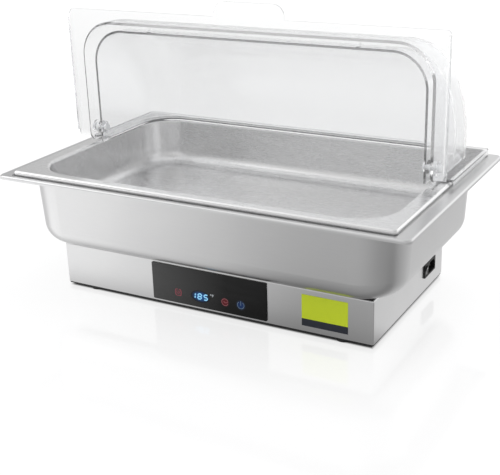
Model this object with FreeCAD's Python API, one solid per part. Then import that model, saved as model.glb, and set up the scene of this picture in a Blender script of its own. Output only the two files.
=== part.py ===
# Electric chafing dish: a heated base, a water pan, a gastronorm 1/1 food pan and a roll cover.
# Millimetres. X runs along the long side, the front faces -Y and Z is up.
# The origin is on the floor under the middle of the dish, and the cover stands open.
import FreeCAD, Part
import math
import os

V = FreeCAD.Vector
X_AXIS = V(1, 0, 0)
Y_AXIS = V(0, 1, 0)
Z_AXIS = V(0, 0, 1)

# Clearances
FIT = 0.05
LOOSE = 0.3
CLOSE_GAP = 0.4

# Food pan, gastronorm 1/1
PAN_LENGTH = 530.0
PAN_WIDTH = 325.0
PAN_DEPTH = 65.0
PAN_SHEET = 1.0
PAN_RIM_SIDE = 16.0
PAN_RIM_FRONT = 11.0
PAN_RIM_CORNER = 5.0
PAN_MOUTH_CORNER = 58.0
PAN_MOUTH_BEND = 4.0
PAN_FLOOR_BEND = 18.0
PAN_DRAFT = 5.0
PAN_LIP = 8.5
PAN_LIP_BEND = 3.0

# Water pan
TUB_RIM_SIDE = 19.0
TUB_RIM_FRONT = 9.0
TUB_SHEET = 1.0
TUB_HEIGHT = 94.5
TUB_LEDGE_SIDE = 4.0
TUB_LEDGE_FRONT = 6.5
TUB_STEP_OUT = 3.0
TUB_STEP_UP = 2.5
TUB_STEP_CORNER = 8.0
TUB_RIM_CORNER = 9.0
TUB_RIM_DROP = 4.7
TUB_RIM_BEND = 2.5
TUB_WALL_CORNER = 58.0
TUB_WALL_BEND = 2.5
TUB_FLOOR_BEND = 27.0
TUB_DRAFT = 3.3

# Base
BASE_LENGTH = 447.6
BASE_WIDTH = 242.0
BASE_WALL = 56.5
BASE_SHEET = 1.0
BASE_BEND = 2.0
BASE_HEM = 14.0
BOTTOM_SHEET = 2.0
BOTTOM_INSET = 0.6
FOOT_HEIGHT = 3.5
FOOT_RADIUS = 9.0
FOOT_FROM_SIDE = 42.0
FOOT_FROM_FRONT = 10.0

VENT_COUNT = 14
VENT_PITCH = 12.0
VENT_WIDTH = 4.0
VENT_CORNER = 1.9
VENT_LENGTH = 34.0
VENT_ROW_Y = 42.0

# Screws, nuts and studs
SCREW_RADIUS = 1.5
SCREW_HEAD = 3.0
SCREW_HEAD_HEIGHT = 1.8
SCREW_HEAD_EDGE = 0.8
SCREW_SLOT = 1.2
SCREW_SLOT_DEPTH = 0.9
SCREW_BITE = 5.0
SCREW_END = 1.0
SCREW_NUT = 2.4
SCREW_NUT_FLATS = 5.5
STUD_RADIUS = 2.0
STUD_NUT = 3.2
STUD_NUT_FLATS = 7.0
TRAY_STUD = 6.0
HEATER_STUD = 6.0
POST_RADIUS = 3.0
POST_OUT = 4.0
FOOT_WEB = 1.2
FOOT_EDGE = 0.6
TAB_LENGTH = 7.0
TAB_WIDTH = 4.8
TAB_SHEET = 0.8
TAB_PITCH = 10.0

# Heater
HEATER_LENGTH = 310.0
HEATER_WIDTH = 170.0
HEATER_ISLAND_INSET = 9.5
HEATER_SLAB = 2.5
HEATER_PROUD = 5.0
ELEMENT_RADIUS = 3.25
ELEMENT_PITCH = 36.0
ELEMENT_RUN = 230.0
ELEMENT_TAIL = 17.0
CLAMP_SHEET = 1.5
PAD_THICKNESS = 8.0
TRAY_SHEET = 1.0
TRAY_FLANGE = 12.0
TRAY_SLACK = 3.0
TRAY_BEND = 4.0
TAIL_HOLE = 8.0
PAD_INSET = 1.0
PAD_HOLE = 4.5
HEATER_CORNER = 8.0
CLAMP_INSET = 6.0
STUD_X = 75.0
ELEMENT_PIN = 1.6
ELEMENT_TAB = 8.0
CUTOUT_X = 100.0
CUTOUT_Y = 0.0
CUTOUT_RADIUS = 8.0
CUTOUT_HEIGHT = 9.0
CUTOUT_EAR_LENGTH = 24.0
CUTOUT_EAR_WIDTH = 8.0
CUTOUT_EAR_SHEET = 1.0
PROBE_RADIUS = 2.5
PROBE_BELOW = 5.0
GROMMET_HEIGHT = 3.0
GROMMET_WALL = 3.0

# Control panel
GLASS_LENGTH = 167.0
GLASS_THICKNESS = 1.8
GLASS_CENTRE_X = 0.25
GLASS_RISE = 2.5
GLASS_TOP = 3.0
GLASS_CORNER = 1.5
GLASS_BEVEL = 0.4

WINDOW_MARGIN = 6.0
BOARD_SHEET = 1.6
BOARD_BEHIND = 9.4
DISPLAY_X = -11.0
DISPLAY_RISE = 16.0
DISPLAY_LENGTH = 28.0
DISPLAY_HEIGHT = 17.0
KEY_XS = (-45.0, 24.5, 47.0)
KEY_RISE = 15.0
KEY_RADIUS = 4.5
KEY_WALL = 1.0

# Sticker on the front
LABEL_LENGTH = 60.5
LABEL_SHEET = 0.3
LABEL_X = 131.0
LABEL_RISE = 7.2
LABEL_TOP = 8.0

# Mains inlet and switch on the right side
INLET_Y = 58.7
INLET_LENGTH = 28.3
INLET_HEIGHT = 19.0
INLET_DROP = 19.0
INLET_FLANGE = 2.0
INLET_DEPTH = 26.0
INLET_LIP = 1.0
INLET_CAVITY_LENGTH = 23.7
INLET_CAVITY_HEIGHT = 14.4
INLET_CAVITY_DEPTH = 21.0
SWITCH_Y = 48.0
SWITCH_LENGTH = 10.3
SWITCH_DEPTH = 16.0
ROCKER_LENGTH = 5.6
ROCKER_HALF_HEIGHT = 6.2
ROCKER_TILT = 10.0
ROCKER_SWING = 1.0
ROCKER_PROUD = 1.0
ROCKER_VALLEY = 0.7
ROCKER_BACK = 4.0
ROCKER_SHOULDER = 1.0
ROCKER_FOOT = 2.5
ROCKER_EDGE = 0.8
ROCKER_SINK_DEPTH = 3.5
ROCKER_POCKET = 9.0
STUB_LENGTH = 0.6
STUB_RADIUS = 0.9
INLET_BEVEL = 5.0
BLADE_PITCH = 14.0
BLADE_DROP = 2.0
BLADE_THICKNESS = 2.0
BLADE_HEIGHT = 4.0
BLADE_REACH = 16.0

# Power board
POWER_LENGTH = 130.0
POWER_WIDTH = 44.0
POWER_GAP = 2.0
POST_HEIGHT = 8.0
POST_FROM_EDGE = 4.0
CORE_LENGTH = 28.0
CORE_WIDTH = 32.0
CORE_HEIGHT = 24.0
CORE_RISE = 3.0
COIL_OUT = 5.0
COIL_WIDTH = 24.0
COIL_HEIGHT = 22.0
CORE_Y = 34.0
RELAY_LENGTH = 20.0
RELAY_WIDTH = 16.0
RELAY_HEIGHT = 16.0
RELAY_Y = -18.0
CAPACITOR_RADIUS = 5.0
CAPACITOR_HEIGHT = 14.0
CAPACITOR_PITCH = 18.0
CAPACITOR_Y = 4.0
TERMINAL_LENGTH = 32.0
TERMINAL_WIDTH = 12.0
TERMINAL_HEIGHT = 12.0
TERMINAL_PITCH = 8.0
TERMINAL_DEPTH = 9.0
TERMINAL_FROM_EDGE = 13.0

# Leads inside the base
LEAD_RADIUS = 1.2
LEAD_BEND = 10.0
LEAD_PITCH = 7.0
LEAD_OUT = 16.0
LEAD_TURN_X = 140.0
PROBE_LEAD_BEND = 3.0
PROBE_LEAD_DROP = 6.0
RIBBON_RISE = 2.5
RIBBON_WIDTH = 10.0
RIBBON_SHEET = 1.0
RIBBON_X = -70.0
RIBBON_BEND = 4.0
RIBBON_OUT = 8.0
HEADER_DEPTH = 6.0
HEADER_LENGTH = 12.0
EARTH_X = 165.0
EARTH_Y = 100.0

# Roll cover
COVER_SHEET = 3.0
COVER_PIVOT_Y = 5.5
COVER_PIVOT_RISE = 19.5
COVER_OVERHANG = 3.0
COVER_LIP = 3.6
COVER_LIP_SHEET = 2.2
COVER_RIM_CORNER = 6.0
COVER_FLANGE_SIDE = 16.5
COVER_FLANGE_FRONT = 16.0
FRONT_CORNER = 48.0
NEST_SIDE = 12.0
NEST_TOP = 12.5
REAR_CORNER = 46.0
REAR_OVERLAP = 7.9
HANDLE_LENGTH = 99.5
HANDLE_REACH = 19.0
HANDLE_CENTRE_X = 8.75
HANDLE_CORNER = 16.0
FRONT_EDGE_INSET = 0.5
PIN_RADIUS = 3.0
PIN_HEAD = 2.5
PIN_HEAD_RADIUS = 5.5
PIN_HEAD_EDGE = 2.0
BOSS_RADIUS = 9.0
FRONT_BOSS = 2.5
REAR_BOSS = 4.0
NUB_X = 150.0
NUB_RADIUS = 3.0
NUB_INSET = 0.5

# Heights and outlines worked out from the sizes above
bottom_z = FOOT_HEIGHT
housing_z = bottom_z + BOTTOM_SHEET
top_z = housing_z + BASE_WALL
tub_z = top_z + HEATER_PROUD
ledge_z = tub_z + TUB_HEIGHT
rim_z = ledge_z + PAN_LIP
front_y = -BASE_WIDTH / 2
side_x = BASE_LENGTH / 2
inlet_z = top_z - INLET_DROP - INLET_HEIGHT
pivot = V(0, COVER_PIVOT_Y, rim_z + COVER_PIVOT_RISE)

parts = {}


def block(x0, x1, y0, y1, z0, z1):
    return Part.makeBox(x1 - x0, y1 - y0, z1 - z0, V(x0, y0, z0))


def rod(radius, start, end):
    run = end - start
    return Part.makeCylinder(radius, run.Length, start, run)


def fuse(shapes):
    return shapes[0].multiFuse(shapes[1:]).removeSplitter()


def fillet_path(corners):
    """Edges along corners (point, radius), each corner rounded by its radius."""
    points = [V(*p) for p, _ in corners]
    edges = []
    last = points[0]
    for before, (here, (_, radius)), after in zip(points, zip(points[1:], corners[1:]), points[2:]):
        back = (before - here).normalize()
        on = (after - here).normalize()
        half = back.getAngle(on) / 2
        if radius <= 0 or abs(half - math.pi / 2) < 1e-6:
            if (here - last).Length > 1e-7:
                edges.append(Part.makeLine(last, here))
            last = here
            continue
        reach = radius / math.tan(half)
        start = here + back * reach
        end = here + on * reach
        middle = here + (back + on).normalize() * (radius / math.sin(half) - radius)
        if (start - last).Length > 1e-7:
            edges.append(Part.makeLine(last, start))
        edges.append(Part.Arc(start, middle, end).toShape())
        last = end
    if (points[-1] - last).Length > 1e-7:
        edges.append(Part.makeLine(last, points[-1]))
    return edges


def sheet_section(corners, thickness):
    """Face of a bent sheet in the XZ plane; the path (x, z, radius) is its right-hand skin."""
    flat = [(x, z) for x, z, _ in corners]
    normals = []
    for (x0, z0), (x1, z1) in zip(flat, flat[1:]):
        length = math.hypot(x1 - x0, z1 - z0)
        normals.append((-(z1 - z0) / length, (x1 - x0) / length))
    skin = [((x, 0, z), r) for x, z, r in corners]
    other = []
    for i, (x, z, r) in enumerate(corners):
        ax, az = normals[max(i - 1, 0)]
        bx, bz = normals[min(i, len(normals) - 1)]
        scale = thickness / (1 + ax * bx + az * bz)
        left_turn = ax * bz - az * bx > 0
        radius = max(r - thickness, 0) if left_turn else r + thickness
        other.append(((x + (ax + bx) * scale, 0, z + (az + bz) * scale), radius if r > 0 else 0))
    there = fillet_path(skin)
    here = fillet_path(other[::-1])
    caps = [Part.makeLine(V(*skin[-1][0]), V(*other[-1][0])), Part.makeLine(V(*other[0][0]), V(*skin[0][0]))]
    return Part.Face(Part.Wire(there + [caps[0]] + here + [caps[1]]))


def around(section, half_x, half_y, corner):
    """Carries a section, drawn at x outward from the outline, round a rounded rectangle."""
    runs = []
    for turn in range(4):
        sign_x = 1 if turn in (0, 3) else -1
        sign_y = 1 if turn in (0, 1) else -1
        centre = V(sign_x * (half_x - corner), sign_y * (half_y - corner), 0)
        face = section.copy()
        face.translate(V(corner, 0, 0))
        face.rotate(V(0, 0, 0), Z_AXIS, 90 * turn)
        face.translate(centre)
        runs.append(face.revolve(centre, Z_AXIS, 90))
        face.rotate(centre, Z_AXIS, 90)
        length = 2 * (half_x - corner) if turn in (0, 2) else 2 * (half_y - corner)
        along = FreeCAD.Rotation(Z_AXIS, 90 * turn).multVec(V(-1, 0, 0))
        runs.append(face.extrude(along * length))
    return runs


def plate(half_x, half_y, corner, z0, z1):
    corners = [((-half_x, 0, z0), 0)]
    for x, y in ((-half_x, -half_y), (half_x, -half_y), (half_x, half_y), (-half_x, half_y)):
        corners.append(((x, y, z0), corner))
    corners.append(((-half_x, 0, z0), 0))
    return Part.Face(Part.Wire(fillet_path(corners))).extrude(V(0, 0, z1 - z0))


def outline_plate(corners, z0, z1):
    """Flat plate from corners (x, y, radius); the first corner stays sharp."""
    path = [((x, y, z0), r) for x, y, r in corners]
    path.append(path[0])
    return Part.Face(Part.Wire(fillet_path(path))).extrude(V(0, 0, z1 - z0))


def screw(point, direction, shank_radius, shank_length):
    """Pan-head screw: the head's seat is at point, and the shank runs along direction."""
    crown = point - direction * SCREW_HEAD_HEIGHT
    head = rod(SCREW_HEAD, crown, point)
    rim = [e for e in head.Edges if e.Curve.TypeId == "Part::GeomCircle"]
    top = min(rim, key=lambda e: e.CenterOfMass.sub(point).dot(direction))
    head = head.makeFillet(SCREW_HEAD_EDGE, [top])
    slot = rod(SCREW_SLOT, crown, crown + direction * SCREW_SLOT_DEPTH)
    return fuse([head, rod(shank_radius, point, point + direction * shank_length)]).cut(slot)


def hex_nut(point, direction, flats, height, bore):
    corner = flats / math.sqrt(3)
    ring = []
    for k in range(7):
        turn = math.radians(60 * k)
        ring.append(V(corner * math.cos(turn), corner * math.sin(turn), 0))
    nut = Part.Face(Part.makePolygon(ring)).extrude(V(0, 0, height))
    nut = nut.cut(rod(bore, V(0, 0, 0), V(0, 0, height)))
    nut.Placement = FreeCAD.Placement(point, FreeCAD.Rotation(Z_AXIS, direction))
    return nut


def small_nut(x, y, z):
    """Nut of the bottom screws, standing on the sheet at z."""
    return hex_nut(V(x, y, z), Z_AXIS, SCREW_NUT_FLATS, SCREW_NUT, SCREW_RADIUS + FIT)


def stud_nut(x, y, z):
    """Nut of a hanging stud, pulled up against the sheet at z."""
    return hex_nut(V(x, y, z), Z_AXIS * -1, STUD_NUT_FLATS, STUD_NUT, STUD_RADIUS + FIT)


def drawn_pan(half_x, half_y, corner, depth, draft, sheet, floor_bend, mouth_bend, flange_z):
    """Floor, drafted wall and outward bend of a pressed pan; the outline is its outer wall at the flange."""
    inward = depth * math.tan(math.radians(draft))
    floor_z = flange_z - depth
    reach = floor_bend + sheet
    section = sheet_section(
        [(-inward - reach, floor_z, 0), (-inward, floor_z, floor_bend), (0, flange_z - sheet, mouth_bend),
         (mouth_bend + sheet, flange_z - sheet, 0)], sheet)
    inner_x = half_x - inward - reach
    inner_y = half_y - inward - reach
    floor = plate(inner_x, inner_y, corner - inward - reach, floor_z, floor_z + sheet)
    return [floor] + around(section, half_x, half_y, corner)


def flat_ring(outer, inner, z0, z1):
    return plate(*outer, z0, z1).cut(plate(*inner, z0 - 1, z1 + 1))


# Water pan: drawn stainless tub with a ledge for the food pan and a stepped, turned-down rim
def make_water_pan():
    wall_x = PAN_LENGTH / 2 - TUB_LEDGE_SIDE
    wall_y = PAN_WIDTH / 2 - TUB_LEDGE_FRONT
    solids = drawn_pan(wall_x, wall_y, TUB_WALL_CORNER, TUB_HEIGHT, TUB_DRAFT, TUB_SHEET,
                       TUB_FLOOR_BEND, TUB_WALL_BEND, ledge_z)
    bend = TUB_WALL_BEND + TUB_SHEET
    mouth = (wall_x + bend, wall_y + bend, TUB_WALL_CORNER + bend)
    step = (PAN_LENGTH / 2 + TUB_STEP_OUT, PAN_WIDTH / 2 + TUB_STEP_OUT, TUB_STEP_CORNER)
    step_out = tuple(size + TUB_SHEET for size in step)
    band_z = ledge_z + TUB_STEP_UP
    solids.append(flat_ring(step_out, mouth, ledge_z - TUB_SHEET, ledge_z))
    solids.append(flat_ring(step_out, step, ledge_z, band_z))
    rim_half = TUB_RIM_BEND + TUB_SHEET
    rim_x = PAN_LENGTH / 2 + TUB_RIM_SIDE
    rim_y = PAN_WIDTH / 2 + TUB_RIM_FRONT
    rim_in = (rim_x - rim_half, rim_y - rim_half, TUB_RIM_CORNER - rim_half)
    solids.append(flat_ring(rim_in, step, band_z - TUB_SHEET, band_z))
    rim = sheet_section(
        [(-rim_half, band_z - TUB_SHEET, 0), (-TUB_SHEET, band_z - TUB_SHEET, TUB_RIM_BEND - TUB_SHEET),
         (-TUB_SHEET, band_z - TUB_RIM_DROP, 0)], TUB_SHEET)
    solids += around(rim, rim_x, rim_y, TUB_RIM_CORNER)
    return fuse(solids)


# Food pan: gastronorm 1/1 pressed pan, its turned-down lip stands on the water pan's ledge
def make_food_pan():
    wall_x = PAN_LENGTH / 2 - PAN_RIM_SIDE - PAN_MOUTH_BEND
    wall_y = PAN_WIDTH / 2 - PAN_RIM_FRONT - PAN_MOUTH_BEND
    corner = PAN_MOUTH_CORNER - PAN_MOUTH_BEND
    under_bend = PAN_MOUTH_BEND - PAN_SHEET
    solids = drawn_pan(wall_x, wall_y, corner, PAN_DEPTH, PAN_DRAFT, PAN_SHEET,
                       PAN_FLOOR_BEND, under_bend, rim_z)
    mouth = (wall_x + PAN_MOUTH_BEND, wall_y + PAN_MOUTH_BEND, corner + PAN_MOUTH_BEND)
    lip_in = (PAN_LENGTH / 2 - PAN_LIP_BEND, PAN_WIDTH / 2 - PAN_LIP_BEND, PAN_RIM_CORNER - PAN_LIP_BEND)
    solids.append(flat_ring(lip_in, mouth, rim_z - PAN_SHEET, rim_z))
    lip = sheet_section(
        [(-PAN_LIP_BEND, rim_z - PAN_SHEET, 0), (-PAN_SHEET, rim_z - PAN_SHEET, PAN_LIP_BEND - PAN_SHEET),
         (-PAN_SHEET, ledge_z, 0)], PAN_SHEET)
    solids += around(lip, PAN_LENGTH / 2, PAN_WIDTH / 2, PAN_RIM_CORNER)
    return fuse(solids)


parts["water_pan"] = make_water_pan()
parts["food_pan"] = make_food_pan()


# Roll cover: two clear quarter-round shells about one axis, the front one turns over the rear one
def roll_shell(half_x, radius, corner, side, drop, overlap):
    """Shell about the X axis through the origin, closed at both ends; side -1 faces the front."""
    section = sheet_section(
        [(half_x, 0, 0), (half_x, radius, corner), (-half_x, radius, corner), (-half_x, 0, 0)], COVER_SHEET)
    low_section = section.copy()
    low_section.rotate(V(0, 0, 0), X_AXIS, -90 * side)
    solids = [
        section.revolve(V(0, 0, 0), X_AXIS, -90 * side),
        low_section.extrude(V(0, 0, -drop)),
        section.extrude(V(0, -side * overlap, 0)),
    ]
    y_ends = sorted((0, -side * overlap))
    for end in (-1, 1):
        x_ends = sorted((end * half_x, end * (half_x - COVER_SHEET)))
        solids.append(block(*x_ends, *y_ends, -drop, 0))
    return solids


cover_half_x = PAN_LENGTH / 2 + COVER_OVERHANG
cover_back = PAN_WIDTH / 2 + COVER_OVERHANG - COVER_PIVOT_Y
cover_front = -(PAN_WIDTH / 2 - FRONT_EDGE_INSET + COVER_PIVOT_Y)
front_half = cover_half_x - COVER_FLANGE_SIDE
front_radius = -cover_front - COVER_FLANGE_FRONT
rear_half = front_half - NEST_SIDE
rear_radius = front_radius - NEST_TOP
front_flange_z = CLOSE_GAP - COVER_PIVOT_RISE
rear_flange_z = -COVER_PIVOT_RISE
heel_radius = COVER_PIVOT_RISE - LOOSE
heel_reach = math.sqrt(heel_radius ** 2 - (front_flange_z + COVER_SHEET) ** 2)
rear_flange_y = heel_reach + 2 * LOOSE
pin_hole = PIN_RADIUS + FIT


def mouth_cut(half_x, depth, corner, side, reach, z0, z1):
    """Space inside a cover's wall, seen from above; it runs past the pivot by reach."""
    inner_x = half_x - COVER_SHEET
    inner_y = side * (depth - COVER_SHEET)
    inner_corner = corner - COVER_SHEET
    return outline_plate(
        [(-inner_x, -side * reach, 0), (inner_x, -side * reach, 0), (inner_x, inner_y, inner_corner),
         (-inner_x, inner_y, inner_corner)], z0, z1)


def make_front_cover():
    overlap = COVER_PIVOT_RISE - COVER_SHEET - LOOSE
    solids = roll_shell(front_half, front_radius, FRONT_CORNER, -1, -front_flange_z, overlap)
    flange = outline_plate(
        [(-cover_half_x, heel_reach, 0), (-cover_half_x, cover_front, COVER_RIM_CORNER),
         (cover_half_x, cover_front, COVER_RIM_CORNER), (cover_half_x, heel_reach, 0)],
        front_flange_z, front_flange_z + COVER_SHEET)
    handle_edge = cover_front - HANDLE_REACH
    handle_x0 = HANDLE_CENTRE_X - HANDLE_LENGTH / 2
    handle_x1 = HANDLE_CENTRE_X + HANDLE_LENGTH / 2
    handle = outline_plate(
        [(handle_x0, cover_front + 1, 0), (handle_x0, handle_edge, HANDLE_CORNER),
         (handle_x1, handle_edge, HANDLE_CORNER), (handle_x1, cover_front + 1, 0)],
        front_flange_z, front_flange_z + COVER_SHEET)
    solids.append(flange.cut(mouth_cut(front_half, front_radius, FRONT_CORNER, -1, 2 * BOSS_RADIUS,
                                       front_flange_z - 1, 0)))
    solids.append(handle)
    for end in (-1, 1):
        lip_x = sorted((end * cover_half_x, end * (cover_half_x - COVER_LIP_SHEET)))
        solids.append(block(*lip_x, cover_front + COVER_RIM_CORNER, 0,
                            front_flange_z - COVER_LIP, front_flange_z))
        wall = V(end * front_half, 0, 0)
        solids.append(rod(BOSS_RADIUS, wall - V(end * COVER_SHEET, 0, 0), wall + V(end * FRONT_BOSS, 0, 0)))
    cover = fuse(solids)
    quarter = block(-cover_half_x - 1, cover_half_x + 1, 0, 3 * heel_radius, -3 * heel_radius, 0)
    reach = V(cover_half_x + 2, 0, 0)
    cover = cover.cut(quarter.cut(rod(heel_radius, reach * -1, reach)))
    cover = cover.cut(rod(pin_hole, reach * -1, reach))
    cover.rotate(V(0, 0, 0), X_AXIS, -90)
    cover.translate(pivot)
    return cover


def make_rear_cover():
    solids = roll_shell(rear_half, rear_radius, REAR_CORNER, 1, -front_flange_z, REAR_OVERLAP)
    edge = [(cover_half_x, rear_flange_y, 0), (cover_half_x, cover_back, COVER_RIM_CORNER),
            (-cover_half_x, cover_back, COVER_RIM_CORNER), (-cover_half_x, rear_flange_y, 0)]
    flange = outline_plate(edge, rear_flange_z, rear_flange_z + COVER_SHEET)
    solids.append(flange.cut(mouth_cut(rear_half, rear_radius, REAR_CORNER, 1, 0, rear_flange_z - 1, 0)))
    lip_z = rear_flange_z - COVER_LIP
    lip_out = outline_plate(edge, lip_z, rear_flange_z)
    lip_x = cover_half_x - COVER_LIP_SHEET
    lip_y = cover_back - COVER_LIP_SHEET
    lip_corner = COVER_RIM_CORNER - COVER_LIP_SHEET
    lip_in = outline_plate(
        [(lip_x, 0, 0), (lip_x, lip_y, lip_corner), (-lip_x, lip_y, lip_corner), (-lip_x, 0, 0)],
        lip_z - 1, rear_flange_z)
    solids.append(lip_out.cut(lip_in))
    nub_top = front_radius - COVER_SHEET - LOOSE
    for end in (-1, 1):
        nub = V(end * NUB_X, NUB_RADIUS + NUB_INSET - REAR_OVERLAP, rear_radius - COVER_SHEET / 2)
        solids.append(rod(NUB_RADIUS, nub, V(nub.x, nub.y, nub_top)))
        wall = V(end * rear_half, 0, 0)
        solids.append(rod(BOSS_RADIUS, wall - V(end * COVER_SHEET, 0, 0), wall + V(end * REAR_BOSS, 0, 0)))
    reach = V(cover_half_x + 2, 0, 0)
    cover = fuse(solids).cut(rod(pin_hole, reach * -1, reach))
    cover.translate(pivot)
    return cover


# Hinge pins: moulded nylon pins with formed heads through both end walls, with a washer between the walls
def make_hinge_pins():
    inner_head = rear_half - COVER_SHEET - LOOSE
    outer_head = front_half + FRONT_BOSS + LOOSE
    pins = []
    washers = []
    for end in (-1, 1):
        def at(x):
            return pivot + V(end * x, 0, 0)
        head = rod(PIN_HEAD_RADIUS, at(outer_head), at(outer_head + PIN_HEAD))
        outer_rim = max(head.Edges, key=lambda e: abs(e.CenterOfMass.x))
        head = head.makeFillet(PIN_HEAD_EDGE, [outer_rim])
        pins.append(fuse([
            head,
            rod(PIN_RADIUS, at(inner_head), at(outer_head)),
            rod(PIN_HEAD_RADIUS, at(inner_head - PIN_HEAD), at(inner_head)),
        ]))
        washer_ends = (at(rear_half + REAR_BOSS + LOOSE), at(front_half - COVER_SHEET - LOOSE))
        washers.append(rod(BOSS_RADIUS - 1, *washer_ends).cut(rod(pin_hole, *washer_ends)))
    return Part.makeCompound(pins), Part.makeCompound(washers)


parts["front_cover"] = make_front_cover()
parts["rear_cover"] = make_rear_cover()
parts["hinge_pins"], parts["hinge_washers"] = make_hinge_pins()


# Base housing: folded stainless sheet, open below, with a heater opening, a front window and side cut-outs
inner_x = side_x - BASE_SHEET
inner_y = BASE_WIDTH / 2 - BASE_SHEET
roof_z = top_z - BASE_SHEET
slab_x = HEATER_LENGTH / 2
slab_y = HEATER_WIDTH / 2
island_x = slab_x - HEATER_ISLAND_INSET
island_y = slab_y - HEATER_ISLAND_INSET
slab_z = roof_z - HEATER_SLAB
element_z = slab_z - LOOSE - ELEMENT_RADIUS
clamp_top_z = element_z - ELEMENT_RADIUS - LOOSE
clamp_z = clamp_top_z - CLAMP_SHEET
tray_top_z = clamp_z - PAD_THICKNESS
tray_z = tray_top_z - TRAY_SHEET
tray_x = slab_x + TRAY_SLACK
tray_y = slab_y + TRAY_SLACK
glass_z = housing_z + GLASS_RISE
glass_top_z = top_z - GLASS_TOP
glass_x0 = GLASS_CENTRE_X - GLASS_LENGTH / 2
board_y = front_y + BASE_SHEET + BOARD_BEHIND
board_z0 = glass_z + WINDOW_MARGIN
board_z1 = glass_top_z - WINDOW_MARGIN
post_x = GLASS_LENGTH / 2 + POST_OUT
tray_studs = [(x * (tray_x + TRAY_FLANGE / 2), y) for x in (-1, 1) for y in (-tray_y / 2, tray_y / 2)]
tray_studs += [(0, y * (tray_y + TRAY_FLANGE / 2)) for y in (-1, 1)]
display_posts = [(x * post_x, z) for x in (-1, 1) for z in (board_z0 + POST_RADIUS, board_z1 - POST_RADIUS)]
hem_screws = [(x * (side_x - BASE_HEM / 2), y * BASE_WIDTH / 4) for x in (-1, 1) for y in (-1, 1)]
hem_screws += [(x * BASE_LENGTH / 4, y * (BASE_WIDTH / 2 - BASE_HEM / 2)) for x in (-1, 1) for y in (-1, 1)]
feet_at = [(x * (side_x - FOOT_FROM_SIDE), y * (BASE_WIDTH / 2 - FOOT_FROM_FRONT))
           for x in (-1, 1) for y in (-1, 1)]


def make_base_housing():
    outer = block(-side_x, side_x, front_y, -front_y, housing_z, top_z)
    folds = [e for e in outer.Edges if abs(e.CenterOfMass.z - housing_z) > 1]
    outer = outer.makeFillet(BASE_BEND, folds)
    inner = block(-inner_x, inner_x, -inner_y, inner_y, housing_z - 1, roof_z)
    folds = [e for e in inner.Edges if abs(e.CenterOfMass.z - housing_z + 1) > 2]
    inner = inner.makeFillet(BASE_BEND - BASE_SHEET, folds)
    shell = outer.cut(inner)
    half_sheet = BASE_SHEET / 2
    hem = block(-inner_x - half_sheet, inner_x + half_sheet, -inner_y - half_sheet, inner_y + half_sheet,
                housing_z, housing_z + BASE_SHEET)
    hem_x = side_x - BASE_HEM
    hem_y = BASE_WIDTH / 2 - BASE_HEM
    hem = hem.cut(block(-hem_x, hem_x, -hem_y, hem_y, 0, top_z))
    solids = [shell, hem]
    for x, y in tray_studs:
        solids.append(rod(STUD_RADIUS, V(x, y, roof_z), V(x, y, roof_z - TRAY_STUD)))
    for x, z in display_posts:
        post = V(x, front_y + BASE_SHEET, z)
        end = V(x, board_y, z)
        solids.append(rod(POST_RADIUS, post, end).cut(rod(SCREW_RADIUS, post, end)))
    housing = fuse(solids)
    window_x = post_x - POST_RADIUS - LOOSE
    cuts = [
        plate(island_x + LOOSE, island_y + LOOSE, HEATER_CORNER, roof_z - 1, top_z + 1),
        block(-window_x, window_x, front_y - 1, front_y + BASE_SHEET + FIT, board_z0, board_z1),
        block(inner_x - 1, side_x + 1, INLET_Y + INLET_LIP, INLET_Y + INLET_LENGTH - INLET_LIP,
              inlet_z + INLET_LIP, inlet_z + INLET_HEIGHT - INLET_LIP),
        block(inner_x - 1, side_x + 1, SWITCH_Y + INLET_LIP, SWITCH_Y + SWITCH_LENGTH - INLET_LIP,
              inlet_z + INLET_LIP, inlet_z + INLET_HEIGHT - INLET_LIP),
    ]
    for x, y in hem_screws + feet_at:
        cuts.append(rod(SCREW_RADIUS + FIT, V(x, y, housing_z - 1), V(x, y, housing_z + BASE_SHEET + 1)))
    return housing.cut(Part.makeCompound(cuts))


# Bottom plate: black steel under the housing, with two rows of vent slots
def make_bottom_plate():
    sheet = plate(side_x - BOTTOM_INSET, -front_y - BOTTOM_INSET, BASE_BEND, bottom_z, housing_z)
    cuts = []
    for x, y in hem_screws + feet_at + [(EARTH_X, EARTH_Y)]:
        cuts.append(rod(SCREW_RADIUS + FIT, V(x, y, bottom_z - 1), V(x, y, housing_z + 1)))
    for row in (-1, 1):
        for k in range(VENT_COUNT):
            x = (k - (VENT_COUNT - 1) / 2) * VENT_PITCH
            slot = plate(VENT_WIDTH / 2, VENT_LENGTH / 2, VENT_CORNER, bottom_z - 1, housing_z + 1)
            slot.translate(V(x, row * VENT_ROW_Y, 0))
            cuts.append(slot)
    return sheet.cut(Part.makeCompound(cuts))


# Feet: rubber pucks, each held by a screw in a recess and a nut inside
def make_feet():
    feet, screws, nuts = [], [], []
    for x, y in feet_at:
        foot = rod(FOOT_RADIUS, V(x, y, 0), V(x, y, bottom_z))
        rim = min(foot.Edges, key=lambda e: e.CenterOfMass.z)
        foot = foot.makeFillet(FOOT_EDGE, [rim])
        seat = V(x, y, bottom_z - FOOT_WEB)
        foot = foot.cut(rod(SCREW_HEAD + 2 * LOOSE, V(x, y, -1), seat))
        feet.append(foot.cut(rod(SCREW_RADIUS + FIT, V(x, y, -1), V(x, y, bottom_z + 1))))
        screws.append(screw(seat, Z_AXIS, SCREW_RADIUS,
                            FOOT_WEB + BOTTOM_SHEET + BASE_SHEET + SCREW_NUT + SCREW_END))
        nuts.append(small_nut(x, y, housing_z + BASE_SHEET))
    return [Part.makeCompound(group) for group in (feet, screws, nuts)]


def make_bottom_screws():
    return Part.makeCompound([
        screw(V(x, y, bottom_z), Z_AXIS, SCREW_RADIUS, BOTTOM_SHEET + BASE_SHEET + 2 * SCREW_END)
        for x, y in hem_screws])


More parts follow.
